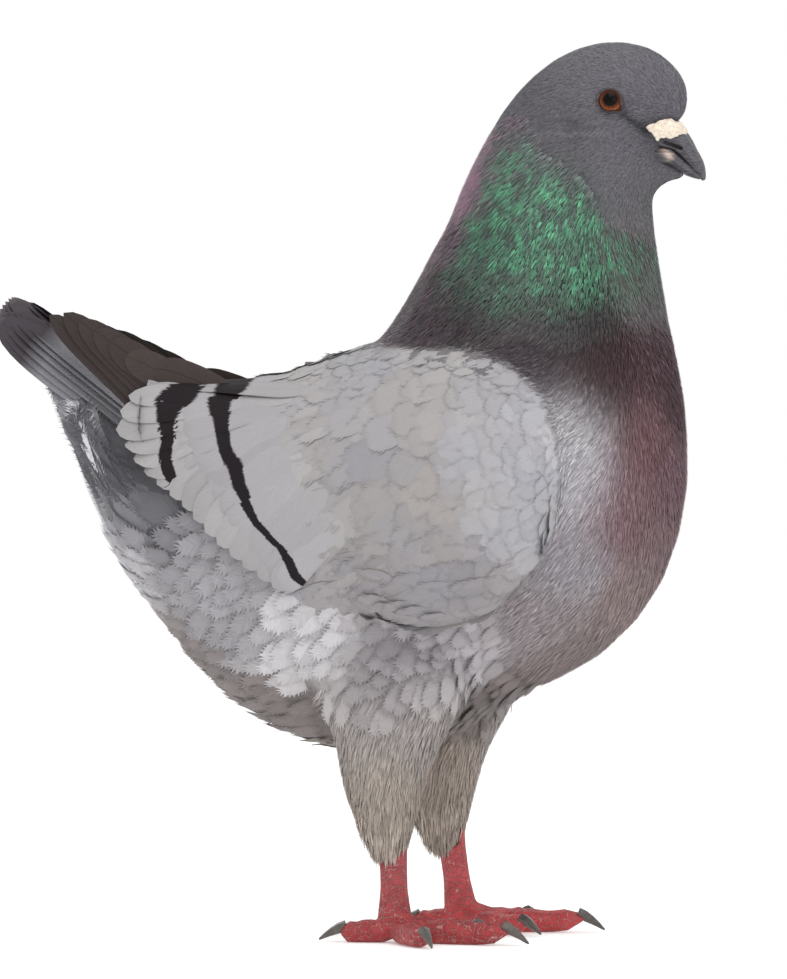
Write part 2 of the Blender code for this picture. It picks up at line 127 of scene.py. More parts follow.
# Each place gives its tract, its name, where it is as (x, distance from the middle, z), the way that
# the feathers lie there, how deep they stand, and their colour. Points between places blend them.
PLACES = (
    ("head", "forehead", (112, 0, 281), (-0.35, 0, 0.94), 0.5, (102, 100, 107)),
    ("head", "brow", (103, 10, 285), (-0.8, 0.1, 0.6), 0.5, (105, 103, 109)),
    ("head", "crown", (88, 0, 297), (-1, 0, 0), 0.6, (114, 112, 118)),
    ("head", "side of the crown", (84, 14, 288), (-1, 0, -0.15), 0.6, (101, 99, 105)),
    ("head", "nape", (58, 0, 281), (-0.7, 0, -0.7), 0.8, (93, 90, 96)),
    ("head", "lores", (103, 7, 268), (-0.85, 0.3, -0.3), 0.4, (92, 90, 97)),
    ("head", "chin", (111, 0, 251), (-0.8, 0, -0.6), 0.6, (98, 95, 101)),
    ("head", "cheek", (97, 10, 262), (-0.85, 0.1, -0.5), 0.6, (101, 99, 105)),
    ("head", "ear", (76, 16, 268), (-0.85, 0, -0.5), 0.7, (94, 90, 96)),
    ("head", "throat", (104, 0, 244), (-0.2, 0, -1), 0.8, (97, 96, 100)),
    ("neck", "top of the neck's back", (42, 0, 258), (-0.45, 0, -0.9), 1.3, (130, 100, 118)),
    ("neck", "low neck's back", (28, 0, 231), (-0.45, 0, -0.9), 1.8, (64, 54, 62)),
    ("neck", "side of the nape", (60, 17, 264), (-0.6, 0, -0.8), 1.0, (88, 88, 92)),
    ("neck", "upper neck's side", (70, 21, 250), (-0.45, 0, -0.9), 1.3, (76, 84, 82)),
    ("neck", "neck's side", (68, 30, 224), (-0.3, 0.05, -0.95), 1.8, (66, 80, 74)),
    ("neck", "neck's front", (104, 6, 224), (0, 0, -1), 1.4, (96, 92, 93)),
    ("neck", "lower neck", (78, 36, 209), (-0.3, 0.08, -0.95), 1.9, (47, 47, 47)),
    ("neck", "low neck's side", (52, 42, 203), (-0.45, 0.1, -0.88), 2.0, (50, 43, 47)),
    ("neck", "neck's foot", (22, 14, 214), (-0.75, 0.05, -0.65), 2.0, (56, 50, 54)),
    ("breast", "upper breast", (112, 6, 190), (0, 0, -1), 1.8, (71, 54, 58)),
    ("breast", "upper breast's side", (94, 36, 186), (-0.3, 0.1, -0.95), 2.0, (61, 45, 48)),
    ("breast", "middle breast", (108, 28, 168), (-0.1, 0.1, -1), 2.0, (106, 80, 83)),
    ("breast", "breast", (115, 6, 150), (-0.1, 0, -1), 2.2, (106, 84, 90)),
    ("breast", "breast's side", (103, 34, 146), (-0.3, 0, -0.95), 2.2, (116, 92, 96)),
    ("breast", "foot of the breast", (112, 8, 133), (-0.25, 0, -1), 2.4, (119, 100, 102)),
    ("breast", "low breast", (106, 10, 116), (-0.5, 0, -0.85), 2.6, (132, 118, 117)),
    ("breast", "top of the breast by the wing", (72, 45, 192), (-0.8, 0, -0.6), 1.8, (70, 62, 67)),
    ("breast", "upper breast by the wing", (88, 44, 172), (-0.85, 0, -0.5), 1.8, (172, 170, 174)),
    ("breast", "breast by the wing", (91, 45, 152), (-0.8, 0, -0.55), 1.8, (170, 168, 174)),
    ("breast", "breast under the wing", (88, 44, 128), (-0.75, 0, -0.65), 2.2, (146, 142, 147)),
    ("breast", "low breast's side", (82, 38, 102), (-0.85, 0, -0.5), 2.6, (138, 130, 132)),
    ("breast", "front of the belly", (84, 6, 95), (-0.85, 0, -0.45), 2.8, (126, 115, 114)),
    ("belly", "belly", (55, 0, 78), (-0.95, 0, -0.25), 3.0, (116, 108, 107)),
    ("belly", "rear belly", (20, 0, 62), (-1, 0, 0), 3.5, (132, 124, 122)),
    ("belly", "flank", (50, 46, 94), (-0.85, 0, -0.5), 2.6, (179, 175, 179)),
    ("belly", "mid flank", (5, 52, 100), (-0.8, 0, -0.6), 3.2, (205, 202, 205)),
    ("belly", "low vent", (-18, 22, 68), (-0.9, 0, -0.35), 4.0, (132, 124, 123)),
    ("belly", "vent", (-45, 24, 92), (-0.85, 0, -0.35), 4.0, (134, 126, 125)),
    ("belly", "rear flank", (-28, 42, 118), (-0.8, 0, -0.55), 4.0, (162, 160, 164)),
    ("belly", "root of the undertail", (-62, 24, 112), (-0.9, 0, 0.1), 4.0, (186, 184, 188)),
    # The undertail's side and upper side are painted dark: painted shade where the wing shades them.
    ("undertail", "undertail's side", (-56, 34, 142), (-0.8, 0, 0.45), 3.0, (82, 81, 86)),
    ("undertail", "undertail's upper side", (-66, 28, 157), (-0.7, 0, 0.6), 3.0, (92, 92, 97)),
    ("undertail", "undertail", (-84, 12, 134), (-0.6, 0, 0.75), 3.5, (206, 206, 210)),
    ("undertail", "upper undertail", (-92, 8, 155), (-0.5, 0, 0.85), 3.0, (160, 161, 166)),
    ("undertail", "end of the undertail", (-98, 4, 180), (-0.5, 0, 0.86), 2.0, (118, 119, 124)),
    ("back", "mantle", (4, 0, 194), (-0.97, 0, -0.2), 2.0, (160, 158, 160)),
    ("back", "back", (-25, 0, 179), (-1, 0, -0.1), 2.2, (170, 168, 170)),
    ("back", "rump", (-50, 6, 170), (-0.95, 0, 0.3), 2.2, (140, 139, 143)),
    ("wing", "scapulars", (24, 22, 204), (-0.95, 0.1, -0.25), 1.6, (172, 170, 172)),
    ("wing", "shoulder", (78, 49, 160), (-0.85, 0, -0.3), 1.2, (180, 178, 182)),
    ("wing", "front edge's top", (66, 44, 190), (-0.95, 0, -0.2), 1.4, (176, 174, 177)),
    ("wing", "upper wing", (36, 44, 188), (-0.97, 0, -0.25), 1.5, (174, 171, 173)),
    ("wing", "middle of the wing", (38, 62, 150), (-0.86, 0, -0.5), 1.5, (166, 162, 163)),
    ("wing", "low wing", (46, 58, 112), (-0.97, 0, -0.14), 1.4, (158, 154, 157)),
    ("wing", "rear of the wing", (-12, 58, 152), (-0.9, 0, -0.42), 1.4, (172, 169, 171)),
    ("wing", "low rear of the wing", (-6, 52, 122), (-0.8, 0, -0.6), 1.4, (170, 166, 168)),
    ("wing", "top rear of the wing", (-18, 22, 186), (-1, 0, -0.1), 1.4, (178, 176, 178)),
    ("wing", "end of the wing", (-58, 32, 170), (-0.97, 0, -0.2), 1.0, (180, 176, 178)),
    ("belly", "top of the thigh", (26, 50, 90), (-0.6, 0, -0.8), 2.4, (160, 155, 158)),
    ("thigh", "front of the thigh", (42, 42, 76), (-0.5, 0, -0.87), 2.0, (152, 145, 143)),
    ("thigh", "upper thigh", (16, 47, 74), (-0.35, 0, -0.94), 1.9, (152, 145, 142)),
    ("thigh", "thigh", (20, 44, 58), (-0.1, 0, -1), 1.6, (148, 139, 131)),
    ("thigh", "foot of the thigh", (20, 36, 36), (0, 0, -1), 1.0, (148, 138, 129)),
    # The inside of the thigh is painted a little paler: painted light on the far thigh, which stands in
    # shade.
    ("thigh", "inside of the thigh", (22, 14, 62), (-0.1, 0, -1), 1.4, (152, 142, 133)),
)
TRACTS = ("head", "neck", "breast", "belly", "undertail", "back", "wing", "thigh")
SOFTNESS = 7.5  # mm over which one place gives way to the next

# How far each tract's colour is lifted or lowered, since packed feathers shade one another unequally.
PALENESS = {"head": 0.9, "neck": 1.0, "breast": 1.1, "belly": 0.79, "undertail": 0.95, "back": 0.8,
            "wing": 0.74, "thigh": 1.1}


def from_screen(colour):
    """Screen red, green and blue, from 0 to 255, as the linear light that shaders use."""
    share = np.asarray(colour, float) / 255
    return np.where(share > 0.04045, ((share + 0.055) / 1.055) ** 2.4, share / 12.92)


def comes_on(value, start, span):
    """From 0 before start to 1 past start + span, or the other way round for a span below zero."""
    return np.clip((value - start) / span, 0, 1)


places = np.array([row[2] for row in PLACES], float)
ways = np.array([row[3] for row in PLACES], float)
depths = np.array([row[4] for row in PLACES], float)
colours = from_screen([row[5] for row in PLACES]) * [[PALENESS[row[0]]] for row in PLACES]
tract_of = np.array([TRACTS.index(row[0]) for row in PLACES])
MIDDLE_STRIP = 4 * MM  # so near the bird's middle, the ways turn to run straight along it


def nearness(points, allowed=None):
    """How much each place counts at each point, as rows that add up to one."""
    mirrored = np.column_stack((points[:, 0], np.abs(points[:, 1]), points[:, 2])) / MM
    square = ((mirrored[:, None, :] - places[None]) ** 2).sum(-1)
    if allowed is not None:
        square = np.where(allowed, square, 1e9)
    weight = np.exp(-(square - square.min(1, keepdims=True)) / (2 * SOFTNESS ** 2))
    return weight / weight.sum(1, keepdims=True)


def lie(points, normals, weight):
    """The unit way that feathers lie along the surface at each point."""
    way = weight @ ways
    way[:, 1] *= np.sign(points[:, 1]) * comes_on(np.abs(points[:, 1]), 0, MIDDLE_STRIP)
    way -= normals * (way * normals).sum(1, keepdims=True)
    return way / np.maximum(np.linalg.norm(way, axis=1, keepdims=True), 1e-9)


BODY_GRAIN, LEG_GRAIN = 1.8 * MM, 0.5 * MM
SEAM = 0.45 * MM  # how far the solids swell before they are fused, which closes the cuts between them


def fused(name, nodes, grain, swell, rounds, balls=()):
    """Copies of solids, swollen, fused into one closed mesh of square faces and smoothed.

    balls are (x, z, radius) in mm, on the bird's middle, and are fused in too.
    """
    bpy.ops.object.select_all(action="DESELECT")
    meshes = [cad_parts[node].data.copy() for node in nodes]
    for x, z, radius in balls:
        ball = bmesh.new()
        bmesh.ops.create_icosphere(ball, subdivisions=2, radius=radius * MM,
                                   matrix=Matrix.Translation((x * MM, 0, z * MM)))
        meshes.append(bpy.data.meshes.new(name))
        ball.to_mesh(meshes[-1])
        ball.free()
    for mesh in meshes:
        mesh.materials.clear()
        copy = bpy.data.objects.new(name, mesh)
        bpy.context.scene.collection.objects.link(copy)
        copy.select_set(True)
        bpy.context.view_layer.objects.active = copy
    if len(meshes) > 1:
        bpy.ops.object.join()
    thing = bpy.context.object
    thing.name = name
    bpy.ops.object.mode_set(mode="EDIT")
    bpy.ops.mesh.select_all(action="SELECT")
    bpy.ops.mesh.remove_doubles(threshold=0.02 * MM)
    bpy.ops.mesh.customdata_custom_splitnormals_clear()
    bpy.ops.transform.shrink_fatten(value=swell)
    bpy.ops.object.mode_set(mode="OBJECT")
    remesh = thing.modifiers.new("remesh", "REMESH")
    remesh.mode = "VOXEL"
    remesh.voxel_size = grain
    bpy.ops.object.modifier_apply(modifier=remesh.name)
    smooth = thing.modifiers.new("smooth", "SMOOTH")
    smooth.factor = 0.5
    smooth.iterations = rounds
    bpy.ops.object.modifier_apply(modifier=smooth.name)
    bpy.ops.object.shade_smooth()
    return thing


def corners(mesh):
    """The places of a mesh's vertices as an array."""
    found = np.empty(len(mesh.vertices) * 3, np.float32)
    mesh.vertices.foreach_get("co", found)
    return found.reshape(-1, 3).astype(float)


def corner_normals(mesh):
    """The normals of a mesh's vertices as an array."""
    found = np.empty(len(mesh.vertices) * 3, np.float32)
    mesh.vertices.foreach_get("normal", found)
    return found.reshape(-1, 3).astype(float)


def set_corners(mesh, points):
    """Moves a mesh's vertices to new places."""
    mesh.vertices.foreach_set("co", points.astype(np.float32).ravel())
    mesh.update()


def surface_of(thing):
    """A piece's faces, ready to be searched for what is nearest or in a line."""
    mesh = thing.data
    return BVHTree.FromPolygons([v.co for v in mesh.vertices], [p.vertices for p in mesh.polygons])


def relax(mesh, points, rounds):
    """Moves each vertex's row of numbers halfway to its neighbours' mean, some rounds over."""
    edges = np.empty(len(mesh.edges) * 2, np.int32)
    mesh.edges.foreach_get("vertices", edges)
    one, two = edges.reshape(-1, 2).T
    count = np.bincount(edges, minlength=len(points))[:, None]
    for _ in range(rounds):
        total = np.zeros_like(points)
        for k in range(points.shape[1]):
            total[:, k] = np.bincount(one, points[two, k], len(points))
            total[:, k] += np.bincount(two, points[one, k], len(points))
        points = points + (total / count - points) / 2
    return points


flesh = ["trunk", "neck", "head", "wing_right", "wing_left", "thigh_right", "thigh_left"]
WINGS = slice(3, 5)
CHIN = ((101, 256.5, 5.5), (104.5, 254.4, 4.4), (107.6, 253.3, 3.6), (110.4, 252.9, 3.0),
        (111.9, 252.6, 2.4))  # balls that taper forward under the bill
THIN_SHARE = 0.3  # a thin part of the flesh sinks from each face by no more of its thickness than this
skin = fused("skin", flesh, BODY_GRAIN, SEAM, 4, CHIN)
points, normals = corners(skin.data), corner_normals(skin.data)
sink = (nearness(points) @ depths) * MM + SEAM
outer = surface_of(skin)
for k, (point, normal) in enumerate(zip(points, normals)):
    inward = Vector(-normal)
    hit = outer.ray_cast(Vector(point) + inward * 0.2 * MM, inward, 20 * MM)
    if hit[0] is not None:
        sink[k] = min(sink[k], THIN_SHARE * hit[3])
sink = relax(skin.data, sink[:, None], 6)


def reach_to(nodes, points):
    """How far each point is from the nearest face of some solids."""
    near = np.full(len(points), np.inf)
    for node in nodes:
        solid = surface_of(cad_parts[node])
        near = np.minimum(near, [solid.find_nearest(Vector(point))[3] for point in points])
    return near


on_wing = reach_to(flesh[WINGS], points) < reach_to(flesh[:WINGS.start], points)
points = relax(skin.data, points - normals * sink, 2)


def off_line(points, start, end):
    """How far each point lies, seen from the side, from a line between two (x, z)."""
    start, run = np.array(start), np.array(end) - start
    share = np.clip(((points[:, [0, 2]] - start) @ run) / (run @ run), 0, 1)
    return np.linalg.norm(points[:, [0, 2]] - start - share[:, None] * run, axis=1)


def fading(off, reach):
    """One at the middle of a dip, a swelling or a patch, fading softly to nothing past its reach."""
    return np.exp(-((off / reach) ** 2))


# The face: a fold from each eye's front corner down to the cere, a full brow, a dip where the bill
# comes out, and sockets filled to the eyes' brims, so that feathers close in round them.
eye_low, eye_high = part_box("eye_right")
EYE = (eye_low + eye_high) / 2
EYE_RADIUS = (eye_high.z - eye_low.z) / 2
cere_low, cere_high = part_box("cere")
CERE_MIDDLE = (cere_low.z + cere_high.z) / 2
FOLD = (EYE.x + 4.4 * MM, EYE.z - 3.0 * MM), (cere_low.x - 0.3 * MM, CERE_MIDDLE - 0.4 * MM)
FOLD_DEPTH, FOLD_REACH = 1.5 * MM, 1.5 * MM
BROW_AT, BROW_HEIGHT, BROW_REACH = np.array((103.5, 279.5)) * MM, 0.9 * MM, 7 * MM
BILL_DIP, DIP_REACH, DIP_REAR = 0.9 * MM, 5.5 * MM, 9 * MM
SOCKET_REACH, SOCKET_BRIM, BRIM_TAPER = 5.2 * MM, 13.8 * MM, 0.16  # the cheek tapers towards the bill
side_face = np.clip(np.abs(normals[:, 1]) * 2 - 0.5, 0, 1)
points -= normals * (FOLD_DEPTH * fading(off_line(points, *FOLD), FOLD_REACH) * side_face)[:, None]
from_brow = np.linalg.norm((points[:, [0, 2]] - BROW_AT) / (1.0, 0.85), axis=1)
points += normals * (BROW_HEIGHT * fading(from_brow, BROW_REACH) * side_face)[:, None]
bill_root = np.array((cere_low.x + 2 * MM, CERE_MIDDLE - 3 * MM))
from_bill = np.linalg.norm((points[:, [0, 2]] - bill_root) / (1.0, 1.3), axis=1)
retreat = BILL_DIP * np.clip(1.6 - from_bill / DIP_REACH, 0, 1) * (points[:, 0] > bill_root[0] - DIP_REAR)
points -= normals * retreat[:, None]
around_eye = np.linalg.norm(points[:, [0, 2]] - (EYE.x, EYE.z), axis=1)
under_lid = abs(EYE.y) + np.sqrt(np.clip(EYE_RADIUS ** 2 - around_eye ** 2, 0, None)) - 0.5 * MM
brim = SOCKET_BRIM - BRIM_TAPER * (points[:, 0] - EYE.x)
in_socket = (around_eye < SOCKET_REACH) & (np.abs(points[:, 1]) > 4 * MM)
filled = np.where(in_socket, np.maximum(under_lid, brim), 0)
points[:, 1] = np.sign(points[:, 1]) * np.maximum(np.abs(points[:, 1]), filled)
points = relax(skin.data, points, 1)
set_corners(skin.data, points)

# The bare shanks and feet are fused at a finer grain, and keep their full size. The shanks' tops are
# drawn out, up into the thighs.
bare = [f"{part}_{side}" for side in ("right", "left") for part in ("shank", "foot")]
FOOT_SWELL = 0.22 * MM
SHANK_END, SHANK_STRETCH = 3 * MM, 3.0  # the part that is drawn out, and by how many times its length
legs = fused("legs", bare, LEG_GRAIN, FOOT_SWELL, 3)
leg_points = corners(legs.data) - corner_normals(legs.data) * FOOT_SWELL
leg_points[:, 2] = np.maximum(leg_points[:, 2], 0)
for side in ("right", "left"):
    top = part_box(f"shank_{side}")[1].z
    on_side_of = (leg_points[:, 1] < 0) == (side == "right")
    over = np.clip(leg_points[:, 2] - (top - SHANK_END), 0, None)
    leg_points[:, 2] += np.where(on_side_of, SHANK_STRETCH * over, 0)
set_corners(legs.data, leg_points)


def paint(mesh, name, colour):
    """Keeps linear red, green and blue at each vertex."""
    layer = mesh.attributes.new(name, "FLOAT_COLOR", "POINT")
    opaque = np.column_stack((colour, np.ones(len(colour)))).astype(np.float32)
    layer.data.foreach_set("color", opaque.ravel())


skin_points, skin_normals = corners(skin.data), corner_normals(skin.data)
skin_weight = nearness(skin_points)
wing_places = tract_of == TRACTS.index("wing")
skin_weight[on_wing] = nearness(skin_points[on_wing], wing_places)
skin_weight[~on_wing] = nearness(skin_points[~on_wing], ~wing_places)
skin_colour = relax(skin.data, skin_weight @ colours, 2)
# Painted shade: the skin is darkened along the fold from eye to cere, and so are the feathers that take their
# colour from it.
skin_colour *= 1 - (0.5 * fading(off_line(skin_points, *FOLD), 1.2 * MM) * side_face)[:, None]
skin_way = lie(skin_points, skin_normals, skin_weight)
skin_tracts = np.stack([skin_weight[:, tract_of == k].sum(1) for k in range(len(TRACTS))], 1)
skin_tracts[on_wing] = np.eye(len(TRACTS))[TRACTS.index("wing")]
skin_tracts[~on_wing, TRACTS.index("wing")] = 0
skin_tracts = relax(skin.data, skin_tracts, 2)
wing_share = relax(skin.data, on_wing[:, None].astype(float), 14)[:, 0]
skin.data.calc_loop_triangles()
skin_triangles = np.empty(len(skin.data.loop_triangles) * 3, np.int32)
skin.data.loop_triangles.foreach_get("vertices", skin_triangles)
skin_triangles = skin_triangles.reshape(-1, 3)
paint(skin.data, "tint", skin_colour)
hide = BVHTree.FromPolygons([tuple(p) for p in skin_points], [tuple(t) for t in skin_triangles])
face_way = skin_way[skin_triangles].mean(1)

LEG_RED, TOE_RED = from_screen((159, 62, 67)), from_screen((165, 49, 52))
TOE_HEIGHT = 20 * MM  # up to here the toes' brighter red fades into the shanks'
leg_height = comes_on(leg_points[:, 2:3], 0, TOE_HEIGHT)
# Painted light and shade: the near, right leg is painted darker and the far, left leg paler, for how each is
# lit.
RIGHT_PAINTED_SHADE, LEFT_PAINTED_LIGHT = 0.86, 1.2  # painted shade on the near, right leg and painted light on the far, left leg
leg_light_and_shade = np.where(leg_points[:, 1:2] < 0, RIGHT_PAINTED_SHADE, LEFT_PAINTED_LIGHT)
paint(legs.data, "tint", (TOE_RED + (LEG_RED - TOE_RED) * leg_height) * leg_light_and_shade)


def add(tree, kind, *values, **settings):
    """A node with its settings, and its inputs set to values or joined to other nodes' outputs."""
    node = tree.nodes.new("ShaderNode" + kind)
    for key, value in settings.items():
        setattr(node, key, value)
    for socket, value in zip(node.inputs, values):
        feed(tree, socket, value)
    return node


def feed(tree, socket, value):
    """Joins an input to another node's output, or sets it to a value."""
    if isinstance(value, bpy.types.NodeSocket):
        tree.links.new(value, socket)
    elif value is not None:
        socket.default_value = value


def sum_of(tree, kind, *values):
    """Arithmetic on one, two or three numbers."""
    return add(tree, "Math", *values, operation=kind).outputs[0]


def ramp(tree, value, low, high, out_low=0.0, out_high=1.0, smooth=True):
    """A number that goes from out_low to out_high as the value goes from low to high."""
    kind = "SMOOTHSTEP" if smooth else "LINEAR"
    return add(tree, "MapRange", value, low, high, out_low, out_high, interpolation_type=kind).outputs[0]


def scaled(tree, colour, factor):
    """A colour times a number."""
    node = add(tree, "VectorMath", colour, operation="SCALE")
    feed(tree, node.inputs["Scale"], factor)
    return node.outputs[0]


def noise_at(tree, where, scale, detail, rough=0.5):
    """Soft noise from 0 to 1 over places."""
    node = add(tree, "TexNoise")
    feed(tree, node.inputs["Vector"], where)
    for key, value in (("Scale", scale), ("Detail", detail), ("Roughness", rough)):
        node.inputs[key].default_value = value
    return node.outputs["Fac"]


def group(name, inputs, outputs):
    """An empty node group with named sockets, its entry and its exit."""
    tree = bpy.data.node_groups.new(name, "ShaderNodeTree")
    for label, kind, value in inputs:
        socket = tree.interface.new_socket(label, in_out="INPUT", socket_type="NodeSocket" + kind)
        socket.default_value = value
    for label, kind in outputs:
        tree.interface.new_socket(label, in_out="OUTPUT", socket_type="NodeSocket" + kind)
    return tree, tree.nodes.new("NodeGroupInput").outputs, tree.nodes.new("NodeGroupOutput").inputs


def use(tree, shared, **values):
    """A node group placed in a material, with its inputs set by name."""
    node = add(tree, "Group", node_tree=shared)
    for label, value in values.items():
        feed(tree, node.inputs[label.replace("_", " ").capitalize()], value)
    return node.outputs


def material(name, roughness, specular, **settings):
    """A material with its shader's plain values set, ready for nodes that vary over the surface."""
    made = bpy.data.materials.new(name)
    made.use_nodes = True
    shader = made.node_tree.nodes["Principled BSDF"]
    shader.inputs["Roughness"].default_value = roughness
    shader.inputs["Specular IOR Level"].default_value = specular
    for label, value in settings.items():
        shader.inputs[label.replace("_", " ")].default_value = value
    return made, made.node_tree, shader.inputs


def bump(tree, shader, height, distance):
    """Fine relief on a surface, as high as distance in metres."""
    node = add(tree, "Bump")
    node.inputs["Strength"].default_value = 1.0
    node.inputs["Distance"].default_value = distance
    feed(tree, node.inputs["Height"], height)
    feed(tree, shader["Normal"], node.outputs[0])


def object_places(tree):
    """Places in metres, in the model's own frame."""
    return add(tree, "TexCoord").outputs["Object"]


# The scales of a bare leg: small raised cells with pale seams between them.
scales_group, entry, leave = group(
    "leg_cells",
    [("Tint", "Color", (0.3, 0.06, 0.06, 1)), ("Cell size", "Float", 900.0), ("Seam", "Float", 0.12),
     ("Paleness", "Float", 0.35)],
    [("Colour", "Color"), ("Height", "Float")])
where = object_places(scales_group)
seams = add(scales_group, "TexVoronoi", feature="DISTANCE_TO_EDGE")
feed(scales_group, seams.inputs["Vector"], where)
feed(scales_group, seams.inputs["Scale"], entry["Cell size"])
seam = add(scales_group, "MapRange", seams.outputs["Distance"], 0.0, entry["Seam"],
           interpolation_type="SMOOTHSTEP").outputs[0]
mottle = ramp(scales_group, noise_at(scales_group, where, 260, 4), 0.3, 0.7, 0.78, 1.2)
body_tint = scaled(scales_group, entry["Tint"], mottle)
seamed = add(scales_group, "Mix", data_type="RGBA")
feed(scales_group, seamed.inputs["Factor"], sum_of(
    scales_group, "MULTIPLY", sum_of(scales_group, "SUBTRACT", 1.0, seam), entry["Paleness"]))
feed(scales_group, seamed.inputs["A"], body_tint)
seamed.inputs["B"].default_value = (0.72, 0.42, 0.38, 1)
feed(scales_group, leave["Colour"], seamed.outputs["Result"])
feed(scales_group, leave["Height"], seam)

down_skin, tree, shader = material("down_skin", 0.9, 0.15)
skin_tint = add(tree, "Attribute", attribute_name="tint").outputs["Color"]
down = noise_at(tree, object_places(tree), 700, 4)
feed(tree, shader["Base Color"], scaled(tree, skin_tint, ramp(tree, down, 0.3, 0.7, 0.75, 1.0)))
bump(tree, shader, down, 0.4 * MM)

scaly_skin, tree, shader = material("scaly_skin", 0.55, 0.35)
cells = use(tree, scales_group, tint=add(tree, "Attribute", attribute_name="tint").outputs["Color"],
            cell_size=480.0, seam=0.09, paleness=0.45)
feed(tree, shader["Base Color"], cells["Colour"])
bump(tree, shader, cells["Height"], 0.4 * MM)

skin.data.materials.append(down_skin)
legs.data.materials.append(scaly_skin)
bpy.ops.object.select_all(action="DESELECT")
legs.select_set(True)
skin.select_set(True)
bpy.context.view_layer.objects.active = skin
bpy.ops.object.join()
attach(skin, "root")
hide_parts(*flesh, *bare)


# ---------------------------------------------------------------- feathers of the head
# The face and crown wear the smallest feathers, under half a millimetre apart, close and smooth. Every
# feather of the bird is a closed shape over a flat underside, and a bed of them is joined in one mesh.
def thin_out(spots, gaps):
    """The spots that stay when none may have another nearer than its gap, first come first kept."""
    tree = KDTree(len(spots))
    for k, spot in enumerate(spots):
        tree.insert(spot, k)
    tree.balance()
    gone = np.zeros(len(spots), bool)
    kept = []
    for k, spot in enumerate(spots):
        if gone[k]:
            continue
        kept.append(k)
        for _, other, _ in tree.find_range(spot, gaps[k]):
            gone[other] = True
    return np.array(kept)


def sprinkle(chance, gap, seed, crowd=4):
    """Roots strewn over the skin: places, normals, ways and colours, no nearer than the gap.

    The chance of a feather is a number for each vertex of the skin, and so is the gap in metres.
    """
    strew = np.random.default_rng(seed)
    corner = skin_points[skin_triangles]
    area = np.linalg.norm(np.cross(corner[:, 1] - corner[:, 0], corner[:, 2] - corner[:, 0]), axis=1) / 2
    density = area * (chance[skin_triangles].mean(1) > 0.5) / gap[skin_triangles].mean(1) ** 2
    pick = strew.choice(len(area), int(density.sum() * crowd), p=density / density.sum())
    share = np.sqrt(strew.random(len(pick)))
    turn = strew.random(len(pick))
    blend = np.stack((1 - share, share * (1 - turn), share * turn), 1)[:, :, None]

    def mixed(values):
        return (values[skin_triangles[pick]] * blend).sum(1)

    kept = thin_out(mixed(skin_points), mixed(gap[:, None])[:, 0])
    pick, blend = pick[kept], blend[kept]
    normal = mixed(skin_normals)
    normal /= np.linalg.norm(normal, axis=1, keepdims=True)
    way = mixed(skin_way)
    way /= np.maximum(np.linalg.norm(way, axis=1, keepdims=True), 1e-9)
    return mixed(skin_points), normal, way, mixed(skin_colour)


def turned(way, normal, angle):
    """Ways turned about their normals."""
    side = np.cross(normal, way)
    return way * np.cos(angle)[:, None] + side * np.sin(angle)[:, None]


FOLLOW = 0.4  # how much of its way a feather takes at each step from the skin under it


def laid(roots, normals, ways, lengths, steps):
    """Lines that run from roots along the skin, and the skin's normals along them."""
    line = np.empty((len(roots), steps + 1, 3))
    up = np.empty_like(line)
    line[:, 0], up[:, 0] = roots, normals
    for k in range(len(roots)):
        place, way, step = roots[k], ways[k], lengths[k] / steps
        for n in range(1, steps + 1):
            spot, normal, face, _ = hide.find_nearest(Vector(place + way * step))
            normal = np.array(normal)
            place = np.array(spot)
            way = way * (1 - FOLLOW) + face_way[face] * FOLLOW
            way = way - normal * (way @ normal)
            way /= max(np.linalg.norm(way), 1e-9)
            line[k, n], up[k, n] = place, normal
    return line, up


def vane(outline, columns):
    """A closed feather shape: across from -1 to 1, along from 0 to 1, and height from 0 to 1.

    The outline gives the half width at places along the feather. Its root and tip are points.
    """
    spots, faces = [(0, 0, 0)], []
    across = [2 * c / (columns - 1) - 1 for c in range(columns)]
    for along, wide in outline:
        spots += [(u * wide, along, (1 - u * u) * wide) for u in across]
    spots.append((0, 1, 0))
    tip = len(spots) - 1
    last = tip - columns
    for c in range(columns - 1):
        faces.append((0, 2 + c, 1 + c))
        faces.append((tip, last + c, last + c + 1))
        for row in range(1, last, columns):
            faces.append((row + c, row + c + 1, row + c + 1 + columns, row + c + columns))
    faces.append((0, 1, columns))
    faces.append((tip, last + columns - 1, last))
    for row in range(1, last, columns):
        left, right = row, row + columns - 1
        faces.append((left, left + columns, right + columns, right))
    return np.array(spots, float), faces


def locks(starts, ends, wide, high):
    """Hair-fine locks, each a three-sided spike from one place on a feather to another."""
    spots, faces = [], []
    for (u0, v0), (u1, v1) in zip(starts, ends):
        n = len(spots)
        middle_u, middle_v = u0 * 0.6 + u1 * 0.4, v0 * 0.6 + v1 * 0.4
        spots += [(u0, v0, 0), (middle_u - wide, middle_v, 0), (middle_u + wide, middle_v, 0),
                  (middle_u, middle_v, high), (u1, v1, 0)]
        faces += [(n, n + 3, n + 1), (n, n + 2, n + 3), (n + 4, n + 1, n + 3), (n + 4, n + 3, n + 2),
                  (n, n + 1, n + 2), (n + 4, n + 2, n + 1)]
    return np.array(spots, float), faces


def both(one, two):
    """Two feather shapes as one."""
    return (np.vstack((one[0], two[0])),
            list(one[1]) + [tuple(i + len(one[0]) for i in face) for face in two[1]])


# The bird's middle line as (x, z), from the bill to the tail's end, round which the skin is unwrapped.
SPINE = np.array([(112, 266), (97, 274), (80, 270), (71, 250), (66, 222), (58, 190), (44, 155),
                  (16, 130), (-20, 128), (-55, 148), (-85, 172), (-104, 212)]) * MM


